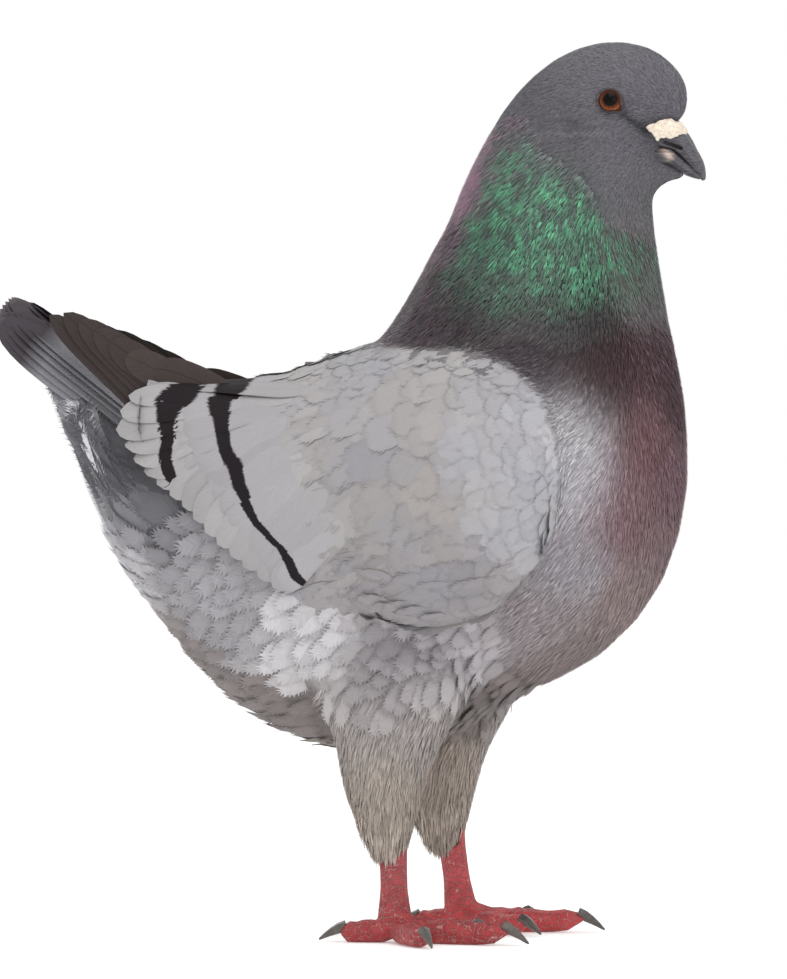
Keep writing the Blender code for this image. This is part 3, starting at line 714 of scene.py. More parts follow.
def unwrapped(points):
    """Each place on the skin as its share along the bird's middle line, and round it."""
    flat = points[:, [0, 2]]
    run = SPINE[1:] - SPINE[:-1]
    along = np.einsum("pkj,kj->pk", flat[:, None] - SPINE[None, :-1], run) / (run ** 2).sum(1)
    along = np.clip(along, 0, 1)
    gap = flat[:, None] - (SPINE[None, :-1] + along[:, :, None] * run)
    nearest = (gap ** 2).sum(2).argmin(1)
    row = np.arange(len(points))
    reach = np.concatenate(([0], np.cumsum(np.linalg.norm(run, axis=1))))
    length = reach[nearest] + along[row, nearest] * (reach[1:] - reach[:-1])[nearest]
    off = gap[row, nearest]
    above = (off * np.stack((-run[nearest, 1], run[nearest, 0]), 1)).sum(1)
    above /= np.linalg.norm(run[nearest], axis=1)
    return np.stack((length / reach[-1], 0.5 + np.arctan2(points[:, 1], above) / (2 * math.pi)), 1)


PATCH = 0.003  # how wide a feather's patch is on the baked sheet, as a share of it


def coat(name, shape, line, up, half_width, lift, arch, tint, bake, seed, wave=0.0):
    """One mesh of many feathers of one shape, each bent along its own line.

    lift is the height of the root and of the tip over the line, and arch the height of the vane's
    middle over its edges, as a share of its half width. tint is a colour for each feather, or for
    each vertex where it is a function of places. bake places each feather on the baked sheet, which
    a few long feathers share as strips instead. wave is how high the feathers curl along their length.
    """
    spots, faces = shape
    count, size = len(line), len(spots)
    shake = np.random.default_rng(seed)
    steps = line.shape[1] - 1
    along = np.clip(spots[:, 1], 0, None) * steps
    low = np.clip(along.astype(int), 0, steps - 1)
    part = (along - low)[None, :, None]
    here = line[:, low] * (1 - part) + line[:, low + 1] * part
    normal = up[:, low] * (1 - np.clip(part, 0, 1)) + up[:, low + 1] * np.clip(part, 0, 1)
    normal /= np.linalg.norm(normal, axis=2, keepdims=True)
    forward = line[:, low + 1] - line[:, low]
    side = np.cross(normal, forward)
    side /= np.maximum(np.linalg.norm(side, axis=2, keepdims=True), 1e-9)
    wide = np.reshape(half_width, (-1, 1))
    rise = lift[0][:, None] + (lift[1] - lift[0])[:, None] * spots[None, :, 1]
    rise = rise + wide * np.reshape(arch, (-1, 1)) * spots[None, :, 2]
    if wave:
        curl = np.sin(spots[None, :, 1] * 5 + shake.random((count, 1)) * 6.28)
        rise = rise + wave * curl * spots[None, :, 1]
    place = here + side * (wide * spots[None, :, 0])[:, :, None] + normal * rise[:, :, None]
    place = place.reshape(-1, 3)

    mesh = bpy.data.meshes.new(name)
    mesh.vertices.add(count * size)
    mesh.vertices.foreach_set("co", place.astype(np.float32).ravel())
    sides = np.array([len(face) for face in faces])
    pattern = np.concatenate([np.array(face) for face in faces])
    loops = (pattern[None] + (np.arange(count) * size)[:, None]).ravel()
    mesh.loops.add(len(loops))
    mesh.loops.foreach_set("vertex_index", loops.astype(np.int32))
    starts = np.concatenate(([0], np.cumsum(np.tile(sides, count))[:-1]))
    mesh.polygons.add(len(starts))
    mesh.polygons.foreach_set("loop_start", starts.astype(np.int32))
    mesh.update(calc_edges=True)
    mesh.polygons.foreach_set("use_smooth", np.ones(len(starts), bool))
    mesh.set_sharp_from_angle(angle=math.radians(75))

    vane_map = mesh.uv_layers.new(name="Vane")
    lie_map = np.tile(np.stack((spots[pattern, 0] * 0.5 + 0.5, spots[pattern, 1]), 1), (count, 1))
    vane_map.data.foreach_set("uv", lie_map.astype(np.float32).ravel())
    bake_map = mesh.uv_layers.new(name="OFBake")
    local = np.stack((spots[:, 0] * 0.5, np.clip(spots[:, 1], 0, 1.2) - 0.5), 1)[pattern]
    if bake is None:
        strip = np.stack(((np.arange(count) + 0.5) / count, np.full(count, 0.5)), 1)
        sheet = strip[:, None, :] + local[None] * (0.9 / count, 0.96)
    else:
        sheet = bake[:, None, :] + local[None] * PATCH
    bake_map.data.foreach_set("uv", np.clip(sheet, 0.001, 0.999).astype(np.float32).ravel())
    colour = tint(place, count, spots) if callable(tint) else np.repeat(tint, size, axis=0)
    paint(mesh, "tint", colour)
    tone = mesh.attributes.new("tone", "FLOAT", "POINT")
    tone.data.foreach_set("value", np.repeat(shake.random(count), size).astype(np.float32))
    thing = bpy.data.objects.new(name, mesh)
    bpy.context.scene.collection.objects.link(thing)
    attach(thing, "root")
    return thing


# Barbs run from the shaft out to the edge and towards the tip. They tint and ridge the vane, and painted
# shade darkens the vane towards its root, where the feathers over it lie.
barbs_group, entry, leave = group(
    "barbs",
    [("Tint", "Color", (0.4, 0.4, 0.4, 1)), ("Barbs", "Float", 12.0), ("Streak", "Float", 0.25),
     ("Variety", "Float", 0.2), ("Shaft", "Float", 0.1), ("Edge", "Float", 0.1), ("Root", "Float", 0.3)],
    [("Colour", "Color"), ("Height", "Float"), ("Threads", "Float"), ("Tone", "Float")])
tree = barbs_group
place = add(tree, "SeparateXYZ", add(tree, "UVMap", uv_map="Vane").outputs[0]).outputs
across = sum_of(tree, "ABSOLUTE", sum_of(tree, "MULTIPLY_ADD", place[0], 2.0, -1.0))
tone = add(tree, "Attribute", attribute_name="tone").outputs["Fac"]
slant = sum_of(tree, "MULTIPLY_ADD", across, -0.35, place[1])
streak_place = add(tree, "CombineXYZ", sum_of(tree, "MULTIPLY", slant, entry["Barbs"]),
                   sum_of(tree, "MULTIPLY", across, 0.8), sum_of(tree, "MULTIPLY", tone, 90.0)).outputs[0]
streak = noise_at(tree, streak_place, 1.0, 3, 0.7)
sway = ramp(tree, streak, 0.25, 0.75, -1.0, 1.0, smooth=False)
shaft = ramp(tree, across, 0.0, 0.09, 1.0, 0.0)
edge = sum_of(tree, "MAXIMUM", ramp(tree, across, 0.65, 1.0), ramp(tree, place[1], 0.82, 1.0))
# Painted shade: each feather is darker towards its root, where the feathers over it shade it.
root = ramp(tree, place[1], 0.15, 0.6, 1.0, 0.0)
factor = sum_of(tree, "MULTIPLY_ADD", sway, entry["Streak"], 1.0)
factor = sum_of(tree, "MULTIPLY_ADD", sum_of(tree, "SUBTRACT", tone, 0.5), entry["Variety"], factor)
factor = sum_of(tree, "MULTIPLY_ADD", shaft, entry["Shaft"], factor)
factor = sum_of(tree, "MULTIPLY_ADD", edge, entry["Edge"], factor)
factor = sum_of(tree, "SUBTRACT", factor, sum_of(tree, "MULTIPLY", root, entry["Root"]))
feed(tree, leave["Colour"], scaled(tree, entry["Tint"], sum_of(tree, "MAXIMUM", factor, 0.05)))
feed(tree, leave["Height"], sum_of(tree, "MULTIPLY_ADD", shaft, 0.8, streak))
feed(tree, leave["Threads"], streak)
feed(tree, leave["Tone"], tone)


def plumage(name, roughness, specular=0.2, sheen=0.0, metallic=0.0, ridge=0.0, marked=None, **values):
    """A feather material: the tint of each feather with barbs, shaft and edges drawn on it.

    marked is a function of the tree and the barbs' outputs that gives the colour with its marks.
    """
    made, tree, shader = material(name, roughness, specular, Sheen_Weight=sheen, Sheen_Roughness=0.5,
                                  Metallic=metallic)
    tint = add(tree, "Attribute", attribute_name="tint").outputs["Color"]
    barbs = use(tree, barbs_group, tint=tint, **values)
    feed(tree, shader["Base Color"], marked(tree, barbs) if marked else barbs["Colour"])
    if ridge:
        bump(tree, shader, barbs["Height"], ridge)
    return made


# Neighbouring tracts meet in a ragged border, coarse and fine at once, and always overlap a little, so
# that no skin stays bare between them.
LEAST_OVERLAP = 0.02
mingle = np.array([0.24 * noise.noise(Vector(point) * 420) + 0.2 * noise.noise(Vector(point) * 150)
                   for point in skin_points])


def chance_of(tract_name, rim=None):
    """For each vertex of the skin, over a half where the tract wins, or on a rim that it shares."""
    mine = skin_tracts[:, TRACTS.index(tract_name)]
    if rim is not None:
        mine = np.where(rim, 1.0, mine)
    rest = np.delete(skin_tracts, TRACTS.index(tract_name), axis=1).max(1)
    return 0.5 + (mine - rest) / 2 + np.maximum(mingle, LEAST_OVERLAP)


def bed(name, tract_name, gap, length, half_width, lift, seed, shape, arch, brighten, stray,
        keep=None, steps=3, crowd=4, wave=0.0, paint_with=None, rim=None):
    """One tract's feathers as one mesh. gap, length, half width and lift are in millimetres.

    brighten and stray are how far the feathers differ in tint and in way. keep limits the bed to
    part of the skin, and rim is skin that the tract shares with another.
    """
    everywhere = np.ones(len(skin_points))
    gap = np.asarray(gap) * MM * everywhere
    chance = chance_of(tract_name, rim)
    if keep is not None:
        chance = np.where(keep, chance, 0.0)
    roots, normals, ways, tint = sprinkle(chance, gap, seed, crowd)
    shake = np.random.default_rng(seed + 1)
    ways = turned(ways, normals, shake.normal(0, stray, len(roots)))
    size = shake.uniform(0.85, 1.15, len(roots))
    lengths = (length(roots) if callable(length) else length) * MM * size
    line, up = laid(roots, normals, ways, lengths, steps)
    width = (half_width(roots) if callable(half_width) else half_width) * MM * size
    width = width * shake.uniform(0.9, 1.1, len(roots))
    low = np.full(len(roots), lift[0] * MM)
    high = lift[1] * MM * shake.uniform(0.8, 1.2, len(roots))
    tint = tint * shake.normal(1, brighten, (len(roots), 1))
    if paint_with:
        tint = paint_with(tint, roots)
    bake = unwrapped(roots)
    return coat(name, shape, line, up, width, (low, high), arch, tint, bake, seed + 2, wave)


# The smallest feather: a sliver with a ridge, pointed at both ends.
SLIVER = (np.array([(0, 0, 0), (-1, 0.5, 0), (1, 0.5, 0), (0, 0.5, 0.5), (0, 1, 0)], float),
          [(0, 3, 1), (0, 2, 3), (4, 1, 3), (4, 3, 2), (0, 1, 2), (4, 2, 1)])

# Feathers leave bare the opening between the lids, which is drawn out at its lower front, and the bill.
APERTURE = np.array((EYE.x + 0.2 * MM, EYE.z + 0.2 * MM))
LOWER_FRONT = -0.78  # the turn, in radians, at which the lids meet in a point
OPENING, OPENING_POINT, POINT_SPAN = 3.6 * MM, 1.2 * MM, 0.35
eye_off = skin_points[:, [0, 2]] - APERTURE
eye_turn = np.arctan2(eye_off[:, 1], eye_off[:, 0])
opening = OPENING + OPENING_POINT * fading(eye_turn - LOWER_FRONT, POINT_SPAN)
round_eye = np.linalg.norm(eye_off, axis=1) > opening
off_bill = ~((skin_points[:, 0] > cere_low.x + 1.5 * MM) & (skin_points[:, 2] < cere_high.z)
             & (np.abs(skin_points[:, 1]) < 5 * MM) & (skin_points[:, 2] > cere_low.z - 9 * MM))


def creased(tint, roots):
    """The face's colours, with painted shade darkening the fold between eye and cere, and wisps behind the
    eye.
    """
    dark = 0.5 * fading(off_line(roots, *FOLD), 0.8 * MM)
    wisp = np.array([noise.noise(Vector((p[0] * 160, p[1] * 160, p[2] * 520))) for p in roots])
    behind_eye = fading(roots[:, 0] - EYE.x + 9 * MM, 11 * MM) * fading(roots[:, 2] - EYE.z + 7 * MM, 6 * MM)
    return tint * (1 - dark + 0.5 * wisp * behind_eye)[:, None]


head_feathers = bed("head_feathers", "head", 0.36, 3.0, 0.24, (-0.1, 0.3), 11, shape=SLIVER, arch=0.6,
                    brighten=0.09, stray=0.2, keep=round_eye & off_bill, steps=2, paint_with=creased)
slate = plumage("slate_plumage", 0.75, sheen=0.1, barbs=3.0, streak=0.15, variety=0.25, shaft=0.0,
                edge=0.05, root=0.2)
head_feathers.data.materials.append(slate)

# ---------------------------------------------------------------- feathers of the neck
# Narrow glossy hackles. Clusters of them on the sides flash green, over a dark purple grey ground: the
# green flashes, and the mauve streaks on the back, are painted highlights of their sheen.
# Each flash is (x, z, reach, strength), in mm.
FLASHES = ((64, 258, 9, 0.5), (62, 247, 9, 0.75), (57, 234, 10, 0.9), (49, 221, 9, 0.3), (75, 243, 10, 0.95),
           (86, 236, 10, 0.9), (83, 225, 11, 1.0), (69, 227, 11, 0.95), (60, 216, 9, 0.3), (94, 229, 9, 0.75),
           (98, 219, 7, 0.35), (77, 217, 8, 0.45))
FLASH_GREEN = from_screen((84, 165, 123))
DARK_GREEN = from_screen((60, 80, 71))
MAUVE_SHEEN = from_screen((150, 112, 132))
UNDER_GREEN = 0.7  # how much of the dark green lies under the flashes

# In mm: the neck's back lies behind a line through (x, z) that leans, and its painted mauve sheen and
# the brightest painted green highlights come on from these heights.
BACK_X, BACK_Z, BACK_LEAN, BACK_SPAN = 62, 240, 0.25, 18
MAUVE_FROM, GREEN_FROM, HEIGHT_SPAN = 212, 206, 34


def streaks(roots, across, along):
    """Noise drawn out along the neck, from about -1 to 1."""
    return np.array([1.6 * noise.noise(Vector((p[0] * across, p[1] * across, p[2] * along))) for p in roots])


def flashed(tint, roots):
    """Neck colours, with painted highlights: green where clusters of feathers catch the light, and mauve on
    the back.
    """
    flat = np.stack((roots[:, 0], roots[:, 2]), 1) / MM
    shake = np.random.default_rng(5)
    zone = np.zeros(len(roots))
    for x, z, reach, strength in FLASHES:
        near = np.clip(1.6 - np.linalg.norm(flat - (x, z), axis=1) / reach, 0, 1)
        zone = np.maximum(zone, near * strength)
    near_head = nearness(roots)[:, tract_of == TRACTS.index("head")].sum(1)
    zone *= np.clip(1.2 - 1.8 * near_head, 0.15, 1)
    amount = np.clip(zone * (0.6 + 1.1 * streaks(roots, 420, 130)), 0, 1)
    flash = (amount * shake.random(len(roots)) ** 0.8)[:, None]
    ground = tint + (DARK_GREEN - tint) * zone[:, None] * UNDER_GREEN
    ground = ground * shake.normal(1, 0.25, (len(roots), 1)).clip(0.4, 1.7)
    behind = BACK_X - flat[:, 0] + (flat[:, 1] - BACK_Z) * BACK_LEAN
    rear = comes_on(behind, 0, BACK_SPAN) * (1 - zone)
    rear *= np.maximum(comes_on(flat[:, 1], MAUVE_FROM, HEIGHT_SPAN), 0.25)
    share = rear * np.clip(streaks(roots, 500, 160) + 0.45, 0, 1) * shake.uniform(0.3, 1, len(roots))
    ground = ground * (1 - share[:, None]) + MAUVE_SHEEN * share[:, None]
    high = comes_on(flat[:, 1], GREEN_FROM, HEIGHT_SPAN)[:, None]
    green = FLASH_GREEN * shake.uniform(0.45, 1.45, (len(roots), 1)) * (0.6 + 0.4 * high)
    return ground * (1 - flash) + green * flash


neck_feathers = bed("neck_feathers", "neck", 0.485, 5.6, 0.32, (-0.8, 0.6), 21, shape=SLIVER, arch=0.6,
                    brighten=0.05, stray=0.22, paint_with=flashed)
glossy = plumage("glossy_plumage", 0.45, specular=0.5, metallic=0.2, barbs=3.0, streak=0.2, variety=0.4,
                 shaft=0.0, edge=0.15, root=0.35)
neck_feathers.data.materials.append(glossy)

# ---------------------------------------------------------------- feathers of the breast
# Fine close feathers, deep maroon above, fading to a dusty lilac grey low down and to pale grey at
# the sides, by the wings.
LILAC_GLINT = from_screen((138, 108, 128))
GLINTS_FROM, GLINTS_SPAN, GLINT_SHARE, GLINT_STRENGTH = 94, 12, 0.1, 0.5


def dusted(tint, roots):
    """Breast colours with light and dark threads, and a few lilac glints that are painted highlights."""
    shake = np.random.default_rng(6)
    thread = shake.normal(1, 0.2, (len(roots), 1)).clip(0.5, 1.6)
    front = comes_on(roots[:, 0] / MM, GLINTS_FROM, GLINTS_SPAN)
    glint = (front * (shake.random(len(roots)) < GLINT_SHARE) * GLINT_STRENGTH)[:, None]
    return (tint * (1 - glint) + LILAC_GLINT * glint) * thread


breast_feathers = bed("breast_feathers", "breast", 0.53, 6.5, 0.36, (-1.2, 0.8), 31, shape=SLIVER, arch=0.6,
                      brighten=0.04, stray=0.16, paint_with=dusted)
wine = plumage("wine_plumage", 0.6, barbs=3.0, streak=0.2, variety=0.2, shaft=0.0, edge=0.1, root=0.25)
breast_feathers.data.materials.append(wine)

# ---------------------------------------------------------------- downy feathers of the belly
# Loose rounded feathers over the belly, flanks and undertail. Each is a soft lobe with a fringe of
# free barbs, and they overlap in soft scallops.
def barbed(rows, spread, droop, wide, full):
    """A loose feather: a rounded lobe of half width full, under rows of free barbs on both its sides.

    The barbs reach out by spread and towards the tip by droop, and each is as thick as wide says.
    """
    starts, ends = [], []
    for k in range(rows):
        along = 0.06 + 0.84 * k / (rows - 1)
        reach = along + droop * (1 - 0.45 * along) + 0.02 * math.sin(k * 4.1)
        edge = math.sqrt(max(1 - ((reach - 0.52) / 0.58) ** 2, 0.0)) * (1 + 0.06 * math.sin(k * 2.3))
        for side in (-1, 1):
            starts.append((side * 0.03, along))
            ends.append((side * edge * spread, reach))
    starts += [(0.25 * u, 0.66) for u in (-1, 0, 1)]
    ends += [(0.5 * u, 1.12 - 0.04 * u * u) for u in (-1, 0, 1)]
    spots, faces = locks(starts, ends, wide, 0.1)
    spots[:, 2] += 0.42 * (1 - np.clip(np.abs(spots[:, 0]), 0, 1))
    lobe = [(0.12, 0.5 * full), (0.3, 0.85 * full), (0.55, full), (0.78, 0.9 * full), (0.94, 0.55 * full)]
    return both(vane(lobe, 3), (spots, faces))


def away_from_wings(tint, roots):
    """The colours that the body has at the roots, also where they sit on a wing's rim."""
    return nearness(roots, ~wing_places) @ colours


def forward(places):
    """From 0 at the middle of the body to 1 at its front, where the feathers are smaller."""
    return comes_on(places[:, 0] / MM, 0, 60)


downy = barbed(26, 1.02, 0.26, 0.08, 0.74)
plume = barbed(44, 0.98, 0.15, 0.065, 0.84)
downy_grey = plumage("downy_plumage", 0.8, sheen=0.1, barbs=25.0, streak=0.14, variety=0.2, shaft=0.0,
                     edge=0.06, root=0.28)
WING_REAR = -34 * MM
wing_rim = on_wing & (wing_share < 0.95) & (skin_points[:, 0] < 74 * MM) & (skin_points[:, 2] < 172 * MM)
low_rim = wing_rim & (skin_points[:, 0] > WING_REAR)
rear_rim = wing_rim & (skin_points[:, 0] < WING_REAR) & (skin_points[:, 2] < 152 * MM)
for side, sign in (("right", -1), ("left", 1)):
    mine = skin_points[:, 1] * sign > 0
    belly_feathers = bed(
        f"belly_feathers_{side}", "belly", 4.3 - 1.1 * forward(skin_points), lambda r: 16 - 4 * forward(r),
        lambda r: 4.6 - 1.2 * forward(r), (-1.6, 1.7), 41 + sign, shape=downy, arch=0.2, brighten=0.06,
        stray=0.18, keep=mine, steps=4, wave=0.4 * MM, paint_with=away_from_wings, rim=low_rim)
    undertail_feathers = bed(
        f"undertail_feathers_{side}", "undertail", 4.6, 36, 6.4, (-1.2, 0.8), 46 + sign, shape=plume,
        arch=0.14, brighten=0.05, stray=0.1, keep=mine, steps=7, paint_with=away_from_wings, rim=rear_rim)
    for piece in (belly_feathers, undertail_feathers):
        piece.data.materials.append(downy_grey)

# ---------------------------------------------------------------- feathers of the back
# Small pale feathers lie flat over the mantle, between the wings, and down the rump to the tail. They
# are shaped as the belly's, and laid closer and flatter.
back_feathers = bed("back_feathers", "back", 2.8, 10, 2.9, (-0.8, 0.1), 51, shape=downy, arch=0.1,
                    brighten=0.04, stray=0.08, steps=4)
back_feathers.data.materials.append(downy_grey)

# ---------------------------------------------------------------- feathers of the thighs
# The thighs wear long hairy strands that hang straight down, warm grey and streaked light and dark.
# Each is a sliver that lies along the skin.
thigh_feathers = bed("thigh_feathers", "thigh", 0.68, 10, 0.42, (-0.8, 1.3), 61, shape=SLIVER, arch=0.6,
                     brighten=0.13, stray=0.2)
hairy = plumage("hairy_plumage", 0.85, barbs=6.0, streak=0.2, variety=0.3, shaft=0.0, edge=0.1, root=0.3)
thigh_feathers.data.materials.append(hairy)

# A ragged cuff of longer strands hangs from the thighs' feet over the tops of the shanks.
CUFF_TOP, CUFF_LENGTH, CUFF_GAP, CUFF_STEPS = 44 * MM, 9 * MM, 0.8 * MM, 3
SHORT_AT, SHORT_SPAN = 20 * MM, 16 * MM  # the strands shorten down to this height
chance = np.where(skin_points[:, 2] < CUFF_TOP, chance_of("thigh"), 0)
roots, normals, _, tint = sprinkle(chance, np.full(len(skin_points), CUFF_GAP), 64)
shake = np.random.default_rng(65)
line, up = (np.repeat(rows[:, None], CUFF_STEPS + 1, 1) for rows in (roots, normals))
up[:, :, 2] = 0
up /= np.maximum(np.linalg.norm(up, axis=2, keepdims=True), 1e-9)
lengths = CUFF_LENGTH * shake.uniform(0.6, 1.2, len(roots))
lengths = lengths * np.maximum(comes_on(roots[:, 2], SHORT_AT, SHORT_SPAN), 0.3)
for k in range(1, CUFF_STEPS + 1):
    share = k / CUFF_STEPS
    line[:, k, 2] -= lengths * share
    line[:, k] -= up[:, k] * (lengths * (0.22 * share + shake.normal(0, 0.05, len(roots))))[:, None]
tint = tint * shake.normal(1.05, 0.18, (len(roots), 1)).clip(0.5, 1.6)
wide, low, high = (np.full(len(roots), size * MM) for size in (0.42, 0.1, 0.6))
cuff = coat("thigh_cuffs", SLIVER, line, up, wide, (low, high), 0.6, tint, unwrapped(roots), 66)
cuff.data.materials.append(hairy)

# ---------------------------------------------------------------- wings
# The folded wing: secondaries whose tips make its rear edge, greater coverts over them, and rows of
# smaller coverts up to the shoulder. Two black bars cross the pale grey where the long ones end.
# Each bar is a line of (x, z) with its half width there, in mm.
FRONT_BAR = ((-33, 190, 6.2), (-34.2, 183.5, 6.2), (-35.3, 178.6, 4.3), (-33.6, 171, 2.7),
             (-31, 162, 2.3), (-27.1, 155.8, 2.8), (-24.9, 149.6, 2.5), (-21.4, 143.4, 1.8),
             (-18, 137.3, 1.3), (-10.8, 131, 1.1), (-6.2, 125, 1.7), (-4.6, 121, 1.8), (-1, 117.5, 1.0))
REAR_BAR = ((-47, 190, 4.6), (-48.3, 184, 4.8), (-50.5, 180, 5.0), (-52.6, 177, 5.2), (-53, 171, 3.4),
            (-51.8, 165, 2.5), (-52.6, 158.8, 2.5), (-51.6, 155, 3.0), (-49.8, 151.5, 1.7))
BAR_BLACK = from_screen((26, 18, 23))
END_TAPER = 20  # how fast a bar narrows past its ends
CLEAR_OF_BAR = 9.0  # half widths from a bar's middle, taken as far away


def along_bar(bar, flat):
    """For each (x, z) in mm: distance from the bar's line, ahead of it above zero, and half width there."""
    bar = np.array(bar, float)
    start, run = bar[:-1], bar[1:] - bar[:-1]
    share = ((flat[:, None] - start[None, :, :2]) * run[None, :, :2]).sum(2) / (run[:, :2] ** 2).sum(1)
    beyond = np.maximum(-share[:, 0], share[:, -1] - 1).clip(0)
    share = share.clip(0, 1)
    nearest = start[None] + share[:, :, None] * run[None]
    gap = np.linalg.norm(flat[:, None] - nearest[:, :, :2], axis=2)
    pick = gap.argmin(1)
    row = np.arange(len(flat))
    found = nearest[row, pick]
    ahead = np.sign((flat[:, 0] - found[:, 0]) * -run[pick, 1] + (flat[:, 1] - found[:, 1]) * run[pick, 0])
    return gap[row, pick] * ahead, found[:, 2] - beyond * END_TAPER


def bar_marks(thing):
    """Keeps at each vertex how many half widths it is from each black bar's middle."""
    flat = corners(thing.data)[:, [0, 2]] / MM
    for name, bar in (("front_bar", FRONT_BAR), ("rear_bar", REAR_BAR)):
        off, half = along_bar(bar, flat)
        layer = thing.data.attributes.new(name, "FLOAT", "POINT")
        marks = np.where(half > 0.3, off / np.maximum(half, 0.3), CLEAR_OF_BAR)
        layer.data.foreach_set("value", marks.clip(-CLEAR_OF_BAR, CLEAR_OF_BAR).astype(np.float32))


def between(rows, count):
    """Rows of numbers spread evenly along a line through the given rows."""
    rows = np.array(rows, float)
    reach = np.concatenate(([0], np.cumsum(np.linalg.norm(rows[1:, :2] - rows[:-1, :2], axis=1))))
    places = np.linspace(0, reach[-1], count)
    return np.stack([np.interp(places, reach, column) for column in rows.T], 1)


long_feather = vane([(v, w) for v, w in zip(
    np.linspace(0.03, 0.97, 22), [0.5, 0.75, 0.9] + [1] * 13 + [0.98, 0.95, 0.9, 0.82, 0.68, 0.42])], 9)
STIFFNESS = 0.3  # how steeply a long feather may dive with the surface under it


def row_of_feathers(name, rows, count, sign, lift, tint, seed):
    """Long feathers side by side on one wing, spread evenly along the given rows.

    A row is (x, z, angle, length, half width) in mm and degrees: x and z are the feather's tip, from
    which it is laid forward, and the angle is how far its way slopes below level. lift is the height
    of the roots, of the tips, and how much higher the last feather lies than the first.
    """
    shake = np.random.default_rng(seed)
    found = between(rows, count)
    steps = 10
    line = np.zeros((count, steps + 1, 3))
    up = np.zeros_like(line)
    for k, (x, z, angle, length) in enumerate(found[:, :4]):
        slope = math.radians(angle + shake.normal(0, 1.2))
        back = np.array((math.cos(slope), math.sin(slope))) * length * (1 + shake.normal(0, 0.02))
        out = 0.0
        for n in range(steps + 1):
            share = 1 - n / steps
            place = Vector((x + back[0] * share, 0, z + back[1] * share)) * MM
            place.y = sign * 0.2
            spot, normal, _, _ = hide.ray_cast(place, Vector((0, -sign, 0)))
            if spot is None or spot.y * sign < 4 * MM:
                place.y = sign * max(out, 8 * MM)
                spot, normal, _, _ = hide.find_nearest(place)
                if share < 0.5:  # past the wing's end the feather runs on straight
                    spot = Vector((place.x, 0, place.z))
                    normal = up[k, n - 1]
            out = max(spot.y * sign, out - STIFFNESS * length * MM / steps)
            line[k, n] = spot.x, sign * out, spot.z
            up[k, n] = normal
        line[k, 1:-1] = (line[k, :-2] + 4 * line[k, 1:-1] + line[k, 2:]) / 6
        up[k, 1:-1] = (up[k, :-2] + 2 * up[k, 1:-1] + up[k, 2:]) / 4
    up /= np.maximum(np.linalg.norm(up, axis=2, keepdims=True), 1e-9)
    order = np.linspace(0, 1, count)
    low = (lift[0] + lift[2] * order) * MM
    high = (lift[1] + lift[2] * order) * MM
    shade = from_screen(tint) * PALENESS["wing"] * shake.normal(1, 0.03, (count, 1))
    thing = coat(name, long_feather, line, up, found[:, 4] * MM, (low, high), 0.08, shade, None, seed + 1)
    bar_marks(thing)
    return thing


def barred(tree, barbs):
    """The feathers' colour with the two black bars across it, frayed along the barbs."""
    fray = sum_of(tree, "MULTIPLY_ADD", sum_of(tree, "SUBTRACT", barbs["Threads"], 0.5), 1.1,
                  sum_of(tree, "MULTIPLY_ADD", barbs["Tone"], 0.5, -0.25))
    inside = []
    for name in ("front_bar", "rear_bar"):
        off = sum_of(tree, "ADD", add(tree, "Attribute", attribute_name=name).outputs["Fac"], fray)
        inside.append(sum_of(tree, "SUBTRACT", 1.0, sum_of(tree, "ABSOLUTE", off)))
    ink = scaled(tree, tuple(BAR_BLACK), ramp(tree, barbs["Threads"], 0.3, 0.8, 0.6, 1.2))
    black = add(tree, "Mix", data_type="RGBA")
    feed(tree, black.inputs["Factor"], ramp(tree, sum_of(tree, "MAXIMUM", *inside), -0.06, 0.12))
    feed(tree, black.inputs["A"], barbs["Colour"])
    feed(tree, black.inputs["B"], ink)
    return black.outputs["Result"]


pale = plumage("pale_plumage", 0.75, ridge=0.06 * MM, marked=barred, barbs=60.0, streak=0.07, variety=0.07,
               shaft=-0.02, edge=-0.06, root=0.0)

# A covert is a broad rounded vane with short free barbs round its tip.
tip_barbs = np.linspace(-1, 1, 19)
covert = both(vane([(0.12, 0.5), (0.3, 0.85), (0.55, 1.0), (0.8, 0.9), (0.93, 0.6)], 7),
              locks([(u * 0.9, 0.62 + 0.3 * (1 - u * u)) for u in tip_barbs],
                    [(u * 1.08, 0.84 + 0.24 * (1 - u ** 2) + 0.04 * math.sin(k * 4))
                     for k, u in enumerate(tip_barbs)], 0.06, 0.05))


# In mm: where the wing's zones start, and over what distance each comes on.
SHOULDER_FROM, SHOULDER_SPAN = 40, 35
TOP_FROM, LOW_FROM, EDGE_SPAN = 178, 118, 14
BAR_SPAN = 18


def wing_zones(places):
    """From 0 to 1: how far on the wing's shoulder, top edge and low edge, and how near the front bar."""
    flat = places[:, [0, 2]] / MM
    shoulder = comes_on(flat[:, 0], SHOULDER_FROM, SHOULDER_SPAN)
    top = comes_on(flat[:, 1], TOP_FROM, EDGE_SPAN) * (1 - shoulder)
    low_edge = comes_on(flat[:, 1], LOW_FROM, -EDGE_SPAN) * (1 - shoulder)
    by_bar = np.clip(1 - along_bar(FRONT_BAR, flat)[0] / BAR_SPAN, 0, 1)
    return shoulder, top, low_edge, by_bar


def covert_size(roots):
    """The coverts are small on the shoulder and along both edges, and largest by the front bar."""
    shoulder, top, low_edge, by_bar = wing_zones(roots)
    return 1.0 - 0.35 * shoulder - 0.35 * top - 0.38 * low_edge + 0.2 * by_bar


shoulder, top, low_edge, by_bar = wing_zones(skin_points)
covert_gap = 5.6 - 2.3 * shoulder - 2.2 * top - 2.0 * low_edge + 1.0 * by_bar
ahead_of_bar = along_bar(FRONT_BAR, skin_points[:, [0, 2]] / MM)[0]
bare_strip = np.where(skin_points[:, 2] < 128 * MM, 9, 15)  # left to the long feathers, in mm


def mottled(tint, roots):
    """Soft patches a little warmer or cooler than the rest."""
    patch = np.array([noise.noise(Vector(root) * 70) for root in roots])[:, None]
    return tint * (1 + patch * np.array((0.06, 0.02, -0.04)))


